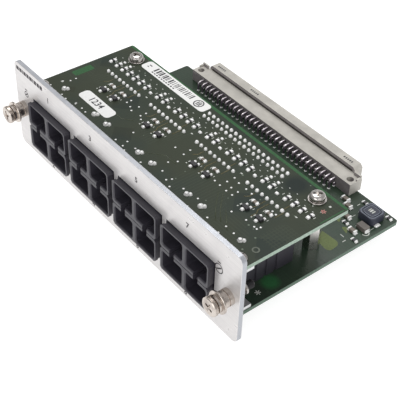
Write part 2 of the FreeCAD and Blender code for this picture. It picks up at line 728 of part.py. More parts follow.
def studs():
    """Four clinch studs pressed into the panel's rear face."""
    pieces = []
    for x, z in stud_places():
        head = lengthwise(STUD_HEAD_RADIUS, x, z, (-STUD_HEAD_DEPTH, 0))
        shank = lengthwise(STUD_RADIUS, x, z, (-STUD_HEAD_DEPTH, STUD_LENGTH))
        pieces.append(joined([head, shank]))
    return pieces


def nuts():
    """Hexagonal nuts on the studs."""
    pieces = []
    for x, z in stud_places():
        nut = hexagonal(NUT_FLATS, Vector(x, BRACKET_THICKNESS, z), Vector(0, 1, 0), NUT_THICKNESS)
        bore = lengthwise(STUD_RADIUS + NUT_CLEARANCE, x, z,
                          (BRACKET_THICKNESS, BRACKET_THICKNESS + NUT_THICKNESS))
        pieces.append(nut.cut(bore))
    return pieces


# ---- Captive panel screws -------------------------------------------------
def ferrule(x):
    """Sleeve pressed into the panel, with a groove round it and a bore for the screw."""
    front = PANEL_FRONT - FERRULE_LENGTH
    groove = FERRULE_RADIUS - FERRULE_GROOVE_DEPTH
    middle = PANEL_FRONT - FERRULE_LENGTH / 2
    profile = [(FERRULE_BORE_RADIUS, front), (FERRULE_RADIUS, front),
               (FERRULE_RADIUS, middle - FERRULE_GROOVE_WIDTH / 2),
               (groove, middle - FERRULE_GROOVE_WIDTH / 2),
               (groove, middle + FERRULE_GROOVE_WIDTH / 2),
               (FERRULE_RADIUS, middle + FERRULE_GROOVE_WIDTH / 2),
               (FERRULE_RADIUS, PANEL_FRONT), (FERRULE_SEAT_RADIUS, PANEL_FRONT),
               (FERRULE_SEAT_RADIUS, 0), (FERRULE_BORE_RADIUS, 0)]
    return turned(profile, x, CAPTIVE_Z)


def captive_screw(x):
    """Thumb screw with a cross recess and a neck for its retaining ring."""
    front = HEAD_BACK - CAPTIVE_HEAD_LENGTH
    bevel = CAPTIVE_HEAD_CHAMFER
    neck_front = RING_REST - RING_SIDE_CLEARANCE
    neck_back = RING_REST + RING_THICKNESS + RING_SIDE_CLEARANCE
    tip_radius = CAPTIVE_SHANK_RADIUS - CAPTIVE_TIP_CHAMFER
    knurl_back = front + CAPTIVE_HEAD_THICKNESS
    barrel_front = knurl_back + CAPTIVE_GROOVE_WIDTH
    flange_front = HEAD_BACK - CAPTIVE_FLANGE_THICKNESS
    profile = [(0, front), (CAPTIVE_HEAD_RADIUS - bevel, front),
               (CAPTIVE_HEAD_RADIUS, front + bevel), (CAPTIVE_HEAD_RADIUS, knurl_back),
               (CAPTIVE_GROOVE_RADIUS, knurl_back), (CAPTIVE_GROOVE_RADIUS, barrel_front),
               (CAPTIVE_BARREL_RADIUS, barrel_front), (CAPTIVE_BARREL_RADIUS, flange_front),
               (CAPTIVE_FLANGE_RADIUS, flange_front), (CAPTIVE_FLANGE_RADIUS, HEAD_BACK),
               (CAPTIVE_SHANK_RADIUS, HEAD_BACK), (CAPTIVE_SHANK_RADIUS, neck_front),
               (CAPTIVE_NECK_RADIUS, neck_front), (CAPTIVE_NECK_RADIUS, neck_back),
               (CAPTIVE_SHANK_RADIUS, neck_back),
               (CAPTIVE_SHANK_RADIUS, CAPTIVE_TIP - CAPTIVE_TIP_CHAMFER),
               (tip_radius, CAPTIVE_TIP), (0, CAPTIVE_TIP)]
    screw = turned(profile, x, CAPTIVE_Z)
    depth = (front - 1, front + RECESS_DEPTH)
    cross = [box(centred(x, RECESS_LENGTH), depth, centred(CAPTIVE_Z, RECESS_WIDTH)),
             box(centred(x, RECESS_WIDTH), depth, centred(CAPTIVE_Z, RECESS_LENGTH))]
    return without(screw, cross)


def retaining_ring(x):
    """Ring in the screw's neck that stops it at the panel."""
    y_range = (RING_REST, RING_REST + RING_THICKNESS)
    bore = CAPTIVE_NECK_RADIUS + RING_RUNNING_CLEARANCE
    return lengthwise(RING_RADIUS, x, CAPTIVE_Z, y_range).cut(
        lengthwise(bore, x, CAPTIVE_Z, y_range))


def save_captive_screws():
    """Write the ferrule, screw and ring at each end of the panel."""
    for name, side in (("left", LEFT), ("right", RIGHT)):
        x = side * CAPTIVE_X
        save("screw_ferrule_" + name, ferrule(x))
        save("captive_screw_" + name, captive_screw(x))
        save("retaining_ring_" + name, retaining_ring(x))


# ---- Backplane connector --------------------------------------------------
def backplane_housing():
    """Connector moulding: a long base with an ear at each end and a shroud open at the rear."""
    edge = LOWER_BOARD_BACK
    low = LOWER_TOP
    front = edge - BASE_FRONT_SETBACK
    step = edge + BASE_REACH
    base = box(centred(BACKPLANE_CENTRE_X, BACKPLANE_LENGTH), (front, step), (low, low + BASE_HEIGHT))
    mouth = edge + SHROUD_REACH
    shroud_z = (low + SHROUD_TOP - SHROUD_HEIGHT, low + SHROUD_TOP)
    shroud = box(centred(BACKPLANE_CENTRE_X, SHROUD_LENGTH), (edge + BOARD_EDGE_GAP, mouth), shroud_z)
    long_edges = [one for one in shroud.Edges if is_along(one, Vector(0, 1, 0))]
    shroud = shroud.makeChamfer(SHROUD_CORNER, long_edges)
    over_base = box(centred(BACKPLANE_CENTRE_X, BACKPLANE_LENGTH), (edge, step),
                    (low + BASE_HEIGHT, low + SHROUD_TOP + 1))
    shroud = shroud.cut(over_base)
    inside = edge + BOARD_EDGE_GAP + SHROUD_WALL
    cavity = (shroud_z[0] + SHROUD_WALL, shroud_z[1] - SHROUD_WALL)
    cavity_length = SHROUD_LENGTH - 2 * SHROUD_WALL
    tools = [box(centred(BACKPLANE_CENTRE_X, cavity_length), (step, mouth + 1), cavity)]
    for side in (LEFT, RIGHT):
        x = BACKPLANE_CENTRE_X + side * EAR_HOLE_SPACING / 2
        tools.append(upright(EAR_HOLE_RADIUS, x, edge - EAR_HOLE_SETBACK,
                             (low - 1, low + BASE_HEIGHT + 1)))
    for height in LEAD_ROW_HEIGHTS:
        tools += [box(centred(x, LEAD_SLOT), (front - 1, max(step, inside) + 1),
                      centred(low + height, LEAD_SLOT)) for x in backplane_columns()]
    return without(joined([base, shroud]), tools)


def backplane_lead(x, row):
    """Bent contact: a blade in the shroud, a bend, and a tail through the board."""
    height = LOWER_TOP + LEAD_ROW_HEIGHTS[row]
    half = LEAD_SIZE / 2
    tail = lead_hole_y(row)
    inner = LEAD_BEND_RADII[row]
    outer = inner + LEAD_SIZE
    tip = LOWER_BOARD_BACK + SHROUD_REACH - LEAD_TIP_RECESS
    foot = LOWER_UNDER - PIN_PROTRUSION
    centre = Vector(x - half, tail + half + inner, height - half - inner)
    corner = math.sqrt(0.5)

    def at(y, z):
        return Vector(x - half, y, z)

    def on_bend(radius):
        return at(centre.y - radius * corner, centre.z + radius * corner)

    edges = [
        Part.LineSegment(at(tip, height + half), at(centre.y, height + half)).toShape(),
        Part.Arc(at(centre.y, height + half), on_bend(outer), at(tail - half, centre.z)).toShape(),
        Part.LineSegment(at(tail - half, centre.z), at(tail - half, foot)).toShape(),
        Part.LineSegment(at(tail - half, foot), at(tail + half, foot)).toShape(),
        Part.LineSegment(at(tail + half, foot), at(tail + half, centre.z)).toShape(),
        Part.Arc(at(tail + half, centre.z), on_bend(inner), at(centre.y, height - half)).toShape(),
        Part.LineSegment(at(centre.y, height - half), at(tip, height - half)).toShape(),
        Part.LineSegment(at(tip, height - half), at(tip, height + half)).toShape(),
    ]
    return Part.Face(Part.Wire(edges)).extrude(Vector(LEAD_SIZE, 0, 0))


def save_backplane_connector():
    """Write the rear connector's housing and its two rows of contacts."""
    save("backplane_housing", backplane_housing())
    for row, name in enumerate(("lower", "upper")):
        save("backplane_contacts_" + name, [backplane_lead(x, row) for x in backplane_columns()])


# ---- Board-mounted parts --------------------------------------------------
def placed_blocks(places, size, low):
    """One block of the given size at each place, standing on the level low."""
    return [box(centred(x, size[0]), centred(y, size[1]), (low, low + size[2]))
            for x, y in places]


def from_corner(places):
    """X, Y of places given by their distance from the lower board's rear right corner."""
    return [(BOARD_WIDTH / 2 - in_from_side, LOWER_BOARD_BACK - in_from_rear)
            for in_from_side, in_from_rear in places]


def inductor_pieces():
    """Shield, core and winding of the power inductor."""
    x, y = from_corner([INDUCTOR_PLACE])[0]
    z_range = (LOWER_TOP, LOWER_TOP + INDUCTOR_HEIGHT)
    shield = rounded_block(centred(x, INDUCTOR_SIZE), centred(y, INDUCTOR_SIZE), z_range,
                           INDUCTOR_CORNER)
    shield = shield.cut(upright(INDUCTOR_BORE_RADIUS, x, y, z_range))
    flange_radius = INDUCTOR_BORE_RADIUS - INDUCTOR_CORE_CLEARANCE
    flanges = [upright(flange_radius, x, y, (low, low + INDUCTOR_FLANGE))
               for low in (z_range[0], z_range[1] - INDUCTOR_FLANGE)]
    spool = upright(INDUCTOR_SPOOL_RADIUS, x, y, z_range)
    wound = (z_range[0] + INDUCTOR_FLANGE, z_range[1] - INDUCTOR_FLANGE)
    winding = upright(flange_radius, x, y, wound).cut(
        upright(INDUCTOR_SPOOL_RADIUS, x, y, wound))
    return shield, joined(flanges + [spool]), winding


def driver_chips():
    """Row of bus driver packages ahead of the rear connector."""
    packages = []
    for index in range(DRIVER_COUNT):
        x = DRIVER_FIRST_X + DRIVER_PITCH * index
        body = box(centred(x, DRIVER_SIZE[0]), centred(DRIVER_Y, DRIVER_SIZE[1]),
                   (LOWER_TOP, LOWER_TOP + DRIVER_SIZE[2]))
        top = [edge for edge in body.Edges
               if min(v.Z for v in edge.Vertexes) > LOWER_TOP + DRIVER_SIZE[2] - 1e-6]
        packages.append(body.makeChamfer(DRIVER_CHAMFER, top))
    return packages


def line_chips():
    """Square packages that drive the optical modules."""
    packages = []
    for x, y in PHY_PLACES:
        body = box(centred(x, PHY_SIZE), centred(y, PHY_SIZE), (LOWER_TOP, LOWER_TOP + PHY_HEIGHT))
        corners = [edge for edge in body.Edges if is_along(edge, Vector(0, 0, 1))]
        packages.append(body.makeChamfer(DRIVER_CHAMFER, corners))
    return packages


def stage_places(y):
    """X, Y of the driver stages' parts at one distance behind the panel."""
    return [(centre + offset, y) for centre in module_centres() for offset in CLUSTER_OFFSETS]


def network_places():
    """X, Y of the resistors in the long row between the modules and the header."""
    first = -NETWORK_PITCH * (NETWORK_COUNT - 1) / 2
    return [(first + NETWORK_PITCH * index, NETWORK_Y)
            for index in range(NETWORK_COUNT) if index not in NETWORK_EMPTY]


def label(x_range, y_range, corner):
    """Thin sticker with rounded corners on the upper board."""
    return rounded_block(x_range, y_range, (UPPER_TOP, UPPER_TOP + LABEL_THICKNESS), corner)


def save_board_parts():
    """Write the inductor, the capacitors, the resistors, the chips and the labels."""
    for name, piece in zip(("inductor_shield", "inductor_core", "inductor_winding"),
                           inductor_pieces()):
        save(name, piece)
    for name, places, size in (("tantalum_capacitors", TANTALUM_PLACES, TANTALUM_SIZE),
                               ("ceramic_capacitors", CERAMIC_PLACES, CERAMIC_SIZE),
                               ("chip_resistors", RESISTOR_PLACES, RESISTOR_SIZE)):
        save(name, placed_blocks(from_corner(places), size, LOWER_TOP))
    save("bus_driver_chips", driver_chips())
    save("line_chips", line_chips())
    save("upper_filter_capacitors", placed_blocks(stage_places(FILTER_Y), FILTER_SIZE, UPPER_TOP))
    save("upper_transistors", placed_blocks(stage_places(TRANSISTOR_Y), TRANSISTOR_SIZE,
                                            UPPER_TOP))
    save("upper_chip_resistors", placed_blocks(network_places(), NETWORK_SIZE, UPPER_TOP))
    save("long_label", label(LONG_LABEL_X, LONG_LABEL_Y, LONG_LABEL_CORNER))
    save("short_label", label(SHORT_LABEL_X, SHORT_LABEL_Y, SHORT_LABEL_CORNER))


def main():
    """Write every node of the card."""
    os.makedirs("parts", exist_ok=True)
    save("front_panel", front_panel())
    save("upper_board", upper_board())
    save("lower_board", lower_board())
    save_modules()
    save_board_connector()
    for name, (x, y) in zip(("left", "right"), standoff_places()):
        save("rear_standoff_" + name, standoff(x, y))
    save("standoff_screws_upper", standoff_screws(1))
    save("standoff_screws_lower", standoff_screws(-1))
    save("standoff_washers", washers())
    save("panel_bracket_right", bracket())
    save("panel_bracket_left", mirrored(bracket()))
    save("bracket_screws", bracket_screws())
    save("bracket_studs", studs())
    save("bracket_nuts", nuts())
    save_captive_screws()
    save_backplane_connector()
    save_board_parts()


main()
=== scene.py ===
"""Looks of an optical switch line card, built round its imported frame.

Shapes are modelled in millimetres and shrunk to metres when they are settled.
X runs along the front panel, Y back through the card, Z up.
"""
import logging
import math
import random
from contextlib import contextmanager
from dataclasses import dataclass
from enum import Enum
from typing import Callable, ClassVar, Iterable, Iterator, Sequence

import bmesh
import bpy
from mathutils import Matrix, Vector


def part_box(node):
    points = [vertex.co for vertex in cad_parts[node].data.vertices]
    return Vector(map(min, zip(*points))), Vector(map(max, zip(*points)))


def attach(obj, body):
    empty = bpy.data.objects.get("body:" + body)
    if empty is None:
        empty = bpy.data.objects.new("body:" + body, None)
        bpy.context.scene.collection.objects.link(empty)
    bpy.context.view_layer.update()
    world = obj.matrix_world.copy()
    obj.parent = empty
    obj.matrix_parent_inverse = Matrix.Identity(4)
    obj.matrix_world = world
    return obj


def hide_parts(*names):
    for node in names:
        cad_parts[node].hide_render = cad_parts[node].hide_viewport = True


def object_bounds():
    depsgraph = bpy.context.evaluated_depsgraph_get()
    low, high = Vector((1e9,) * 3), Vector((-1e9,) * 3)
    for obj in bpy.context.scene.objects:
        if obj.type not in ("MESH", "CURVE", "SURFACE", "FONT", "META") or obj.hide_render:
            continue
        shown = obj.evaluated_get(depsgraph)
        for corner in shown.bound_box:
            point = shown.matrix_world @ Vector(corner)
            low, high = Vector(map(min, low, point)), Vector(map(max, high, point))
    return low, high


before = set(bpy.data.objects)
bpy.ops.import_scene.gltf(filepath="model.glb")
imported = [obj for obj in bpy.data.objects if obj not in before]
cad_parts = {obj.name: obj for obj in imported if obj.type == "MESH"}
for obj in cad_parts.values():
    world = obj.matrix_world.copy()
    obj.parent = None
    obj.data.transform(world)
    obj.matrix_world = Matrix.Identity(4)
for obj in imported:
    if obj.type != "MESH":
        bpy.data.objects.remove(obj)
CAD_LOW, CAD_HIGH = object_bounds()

LOG = logging.getLogger("line_card")
MM = 0.001
SEED = 11
POINT_RADIUS = 0.0005  # a ring this small closes to a point
LAYER = 0.02  # thickness of ink
CREASE = 40  # degrees from which an edge of a CAD node is rounded off
FLAT = 1.0  # degrees up to which neighbouring facets are merged
WELD = 0.003  # corners of a CAD node nearer than this are merged
FINE_WELD = 0.001  # the same after rounding
TEXT_WELD = 0.002  # the same for figures
STRIP_WELD = 0.0005  # the same for strips
SIDES = (-1, 1)

Piece = bpy.types.Object
Socket = bpy.types.NodeSocket
Colour = tuple[float, float, float]
Point = tuple[float, float, float]
Spot = tuple[float, float]
Bar = tuple[float, float, float, float]
Pad = tuple[float, float, float, float, float]


class Body(Enum):
    """Rigid bodies of the card."""

    CARD = "card"
    SCREW_LEFT = "screw_left"
    SCREW_RIGHT = "screw_right"


class Grain(Enum):
    """Direction of the tool marks in a metal surface, as stretch factors."""

    ALONG_X = (0.02, 1.0, 1.0)
    ALONG_Y = (1.0, 0.02, 1.0)
    ALONG_Z = (1.0, 1.0, 0.02)
    ROUND_Y = (0.02, 1.0, 0.02)
    NONE = (1.0, 1.0, 1.0)


class Facing(Enum):
    """Which way a flat print looks, as degrees of tilt from upright."""

    UP = 0
    FRONT = 90

    @property
    def tilt(self) -> Matrix:
        """Turn that brings a print lying flat to face this way."""
        return Matrix.Rotation(math.radians(self.value), 4, "X")


@dataclass(frozen=True)
class Extent:
    """Box of a CAD node, in millimetres."""

    low: Vector
    high: Vector

    @classmethod
    def of(cls, node: str) -> "Extent":
        """The box of the named node."""
        low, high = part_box(node)
        return cls(low / MM, high / MM)

    @property
    def centre(self) -> Vector:
        """Middle of the box."""
        return (self.low + self.high) / 2

    @property
    def size(self) -> Vector:
        """Lengths of the box's sides."""
        return self.high - self.low


# ---- Workbench: selection, edit mode and finishing ---------------------------
def take(*pieces: Piece) -> None:
    """Select only these pieces, if any; the first is the active one.

    Args:
        *pieces: Pieces to select.
    """
    bpy.ops.object.select_all(action="DESELECT")
    for piece in pieces:
        piece.select_set(True)
    if pieces:
        bpy.context.view_layer.objects.active = pieces[0]


@contextmanager
def editing(piece: Piece) -> Iterator[None]:
    """Edit mode on one piece, with its whole mesh selected at the start.

    Args:
        piece: Piece to edit.

    Returns:
        A context that ends in object mode.
    """
    take(piece)
    bpy.ops.object.mode_set(mode="EDIT")
    everything()
    try:
        yield
    finally:
        bpy.ops.object.mode_set(mode="OBJECT")


def everything() -> None:
    """Select the whole mesh that is being edited."""
    bpy.ops.mesh.select_all(action="SELECT")


def face_out() -> None:
    """Turn every face of the edited mesh outward."""
    everything()
    bpy.ops.mesh.normals_make_consistent(inside=False)


def draw_out(move: Point) -> None:
    """Extrude what is selected in the edited mesh."""
    bpy.ops.mesh.extrude_region_move(TRANSFORM_OT_translate={"value": move})


def resize(factors: Point, centre: Point) -> None:
    """Scale what is selected in the edited mesh about a point."""
    bpy.ops.transform.resize(value=factors, center_override=centre)


def round_edges(width: float, segments: int) -> None:
    """Bevel the edges that are selected in the edited mesh."""
    bpy.ops.mesh.bevel(offset=width, segments=segments, affect="EDGES")


def choose(piece: Piece, test: Callable[[Vector, Vector], bool], edges: bool = False) -> None:
    """Select faces by centre and normal, or edges by their two ends.

    Args:
        piece: Piece that is being edited.
        test: Says from the two vectors whether the face or edge is wanted.
        edges: Whether edges are chosen.
    """
    bpy.ops.mesh.select_mode(type="EDGE" if edges else "FACE")
    bpy.ops.mesh.select_all(action="DESELECT")
    mesh = bmesh.from_edit_mesh(piece.data)
    for item in mesh.edges if edges else mesh.faces:
        pair = ([corner.co for corner in item.verts] if edges
                else (item.calc_center_median(), item.normal))
        if test(*pair):
            item.select_set(True)
    bmesh.update_edit_mesh(piece.data)


def is_upright(start: Vector, end: Vector) -> bool:
    """Whether an edge of a thin plate runs through its thickness."""
    return abs(start.z - end.z) > LAYER / 2


def place(piece: Piece, matrix: Matrix) -> Piece:
    """Move a piece by changing its mesh, with its object left at the origin.

    Args:
        piece: Piece to move.
        matrix: Where it goes.

    Returns:
        The same piece.
    """
    piece.data.transform(matrix)
    piece.data.update()
    return piece


def linked(name: str, data: bpy.types.ID | None) -> Piece:
    """New object of some data, put in the scene.

    Args:
        name: Name of the object.
        data: Its mesh, curve, lamp or camera.

    Returns:
        The object, at the origin.
    """
    piece = bpy.data.objects.new(name, data)
    bpy.context.scene.collection.objects.link(piece)
    return piece


def added(name: str) -> Piece:
    """The piece that was just added, with its place moved into its mesh.

    Args:
        name: Name that it gets.

    Returns:
        The piece, at the origin.
    """
    piece = bpy.context.object
    piece.name = name
    piece.data.transform(piece.matrix_world)
    piece.matrix_world = Matrix.Identity(4)
    return piece


def disc(name: str, sides: int, radius: float, level: float = 0.0) -> Piece:
    """Flat round face.

    Args:
        name: Name of the new piece.
        sides: Number of sides round it.
        radius: Its radius.
        level: Its height.

    Returns:
        The disc.
    """
    take()
    bpy.ops.mesh.primitive_circle_add(vertices=sides, radius=radius, fill_type="NGON",
                                      location=(0, 0, level))
    return added(name)


def block(name: str, centre: Point, size: Point, bevel: float = 0.0) -> Piece:
    """Rectangular block with its edges rounded.

    Args:
        name: Name of the new piece.
        centre: Middle of the block.
        size: Lengths of its sides.
        bevel: Radius of its edges.

    Returns:
        The block.
    """
    take()
    bpy.ops.mesh.primitive_cube_add(size=1, location=centre, scale=size)
    piece = added(name)
    if bevel:
        with editing(piece):
            round_edges(bevel, 2)
    return piece


def stacked(name: str, profile: Sequence[Spot], sides: int) -> Piece:
    """Upright turned shape, drawn up ring by ring from its foot.

    Args:
        name: Name of the new piece.
        profile: Radius and height of each ring, from the foot up.
        sides: Number of sides round it.

    Returns:
        The turned shape, standing on the origin.
    """
    radius, level = max(profile[0][0], POINT_RADIUS), profile[0][1]
    piece = disc(name, sides, radius, level)
    with editing(piece):
        for wider, higher in profile[1:]:
            draw_out((0, 0, higher - level))
            wider = max(wider, POINT_RADIUS)
            share = wider / radius
            resize((share, share, 1), (0, 0, higher))
            radius, level = wider, higher
        everything()
        bpy.ops.mesh.remove_doubles(threshold=3 * POINT_RADIUS)
        face_out()
    smooth(piece, 50)
    return piece


def smooth(piece: Piece, degrees: float) -> None:
    """Shade a piece smooth, except across edges sharper than the angle."""
    take(piece)
    bpy.ops.object.shade_smooth_by_angle(angle=math.radians(degrees))


def joined(pieces: Sequence[Piece], name: str) -> Piece:
    """One piece made of several.

    Args:
        pieces: Pieces to join; all but the first are used up.
        name: Name of the result.

    Returns:
        The joined piece.
    """
    take(*pieces)
    if len(pieces) > 1:
        bpy.ops.object.join()
    pieces[0].name = name
    return pieces[0]


def copies(model: Piece, places: Iterable[Matrix], name: str) -> Piece:
    """Copies of a model at each place, joined into one piece.

    Args:
        model: Shape to copy, which is used up.
        places: Where the copies go.
        name: Name of the result.

    Returns:
        The joined copies.
    """
    made = [place(linked(name, model.data.copy()), matrix) for matrix in places]
    bpy.data.objects.remove(model)
    return joined(made, name)


def turned(axis: str, degrees: float) -> Matrix:
    """Turn about one axis."""
    return Matrix.Rotation(math.radians(degrees), 4, axis)


def at(x: float, y: float, z: float, turn: float = 0.0, scale: Point = (1, 1, 1)) -> Matrix:
    """Placement: scaled, turned about the upright by degrees, then moved."""
    return Matrix.Translation((x, y, z)) @ turned("Z", turn) @ Matrix.Diagonal((*scale, 1))


def apply_modifiers(piece: Piece) -> None:
    """Apply every modifier of a piece.

    Args:
        piece: Piece that carries them.
    """
    take(piece)
    for modifier in list(piece.modifiers):
        bpy.ops.object.modifier_apply(modifier=modifier.name)


def ribbons(name: str, paths: Sequence[Sequence[Spot]], width: float, height: float,
            level: float) -> Piece:
    """Flat strips along paths on a board.

    Args:
        name: Name of the new piece.
        paths: Corner points of each strip, seen from above.
        width: Width of a strip.
        height: Thickness of a strip.
        level: Height of the surface they lie on.

    Returns:
        All the strips as one piece.
    """
    curve, section = (bpy.data.curves.new(name, "CURVE") for _ in range(2))
    curve.dimensions = "3D"
    curve.twist_mode = "Z_UP"
    curve.bevel_mode = "OBJECT"
    curve.use_fill_caps = True
    curve.bevel_object = shape = linked("section", section)
    corners = [(across * width / 2, up * height / 2, 0)
               for across, up in ((-1, -1), (1, -1), (1, 1), (-1, 1))]
    lines = [[(x, y, level + height / 2) for x, y in path] for path in paths]
    for target, points in [(section, corners), *((curve, line) for line in lines)]:
        spline = target.splines.new("POLY")
        spline.points.add(len(points) - 1)
        for point, spot in zip(spline.points, points):
            point.co = (*spot, 1)
    section.splines[0].use_cyclic_u = True
    piece = linked(name, curve)
    take(piece)
    bpy.ops.object.convert(target="MESH")
    bpy.data.objects.remove(shape)
    with editing(piece):
        bpy.ops.mesh.remove_doubles(threshold=STRIP_WELD)
        face_out()
    return piece


def written(text: str, height: float, centre: Point, facing: Facing, weight: float,
            size_share: float = 1.38) -> Piece:
    """Plain figures as thin raised ink.

    Args:
        text: Figures to write.
        height: Height of the figures.
        centre: Middle of the writing, on the surface that carries it.
        facing: Way that the surface looks.
        weight: How much the strokes are thickened on each side.
        size_share: Font size against the height of its figures.

    Returns:
        The figures as a mesh.
    """
    take()
    bpy.ops.object.text_add()
    piece = bpy.context.object
    piece.data.body = text
    piece.data.size = height * size_share
    piece.data.align_x = "CENTER"
    piece.data.align_y = "CENTER"
    piece.data.extrude = LAYER / 2
    piece.data.offset = weight
    piece.data.resolution_u = 3
    bpy.ops.object.convert(target="MESH")
    place(added("figures"), Matrix.Translation(centre) @ facing.tilt)
    with editing(piece):
        bpy.ops.mesh.remove_doubles(threshold=TEXT_WELD)
        face_out()
    return piece


def bars(name: str, rows: Sequence[Bar], level: float, facing: Facing = Facing.UP,
         corner: float = 0.08) -> Piece:
    """Printed bars, each a thin raised plate.

    Args:
        name: Name of the new piece.
        rows: Middle across, middle up, width and height of each bar.
        level: Height, or distance back, of the surface they are printed on.
        facing: Way that the surface looks.
        corner: How much is cut from the corners, as a share of a bar's sides.

    Returns:
        All the bars as one piece.
    """
    model = block("bar", (0, 0, 0), (1, 1, LAYER))
    with editing(model):
        choose(model, is_upright, edges=True)
        round_edges(corner, 1)
    places = []
    for across, up, width, height in rows:
        spot = (across, up, level) if facing is Facing.UP else (across, level, up)
        places.append(Matrix.Translation(spot) @ facing.tilt
                      @ Matrix.Diagonal((width, height, 1, 1)))
    return copies(model, places, name)


def plate(points: Sequence[Spot], level: float, corner: float) -> Piece:
    """Thin plate with rounded corners.

    Args:
        points: Its corners, seen from above.
        level: Height that it lies on.
        corner: Length cut from each side to round a corner.

    Returns:
        The plate.
    """
    mesh = bpy.data.meshes.new("plate")
    mesh.from_pydata([(x, y, level) for x, y in points], [], [range(len(points))])
    piece = linked("plate", mesh)
    with editing(piece):
        draw_out((0, 0, LAYER))
        face_out()
        choose(piece, is_upright, edges=True)
        round_edges(corner, 5)
    return piece


def ring(name: str, outer: float, inner: float, height: float, sides: int = 20) -> Piece:
    """Flat ring lying on the origin.

    Args:
        name: Name of the new piece.
        outer: Its outer radius.
        inner: Its inner radius.
        height: Its thickness.
        sides: Number of sides round it.

    Returns:
        The ring.
    """
    piece = disc(name, sides, outer)
    with editing(piece):
        bpy.ops.mesh.inset(thickness=outer - inner)
        bpy.ops.mesh.delete(type="FACE")
        everything()
        draw_out((0, 0, height))
        face_out()
    return piece


def sink_recess(screw: Piece, wing: Point, level: float) -> None:
    """Cut a cross recess with tapering wings into a head's face.

    Args:
        screw: Screw standing on its tip.
        wing: Length, width and height of one pair of wings.
        level: Height of the wings' middle.
    """
    tools = []
    for turn in (0, 90):
        tool = block("wing", (0, 0, level), wing)
        with editing(tool):
            choose(tool, lambda centre, normal: normal.z < -0.9)
            resize((0.45, 0.7, 1), (0, 0, level))
        tools.append(place(tool, turned("Z", turn)))
        cut = screw.modifiers.new("recess", "BOOLEAN")
        cut.operation = "DIFFERENCE"
        cut.solver = "EXACT"
        cut.object = tool
    apply_modifiers(screw)
    for tool in tools:
        bpy.data.objects.remove(tool)


# ---- Finishes ----------------------------------------------------------------
def shade(colour: Colour, share: float) -> Colour:
    """The colour made darker by a share."""
    return tuple(share * part for part in colour)


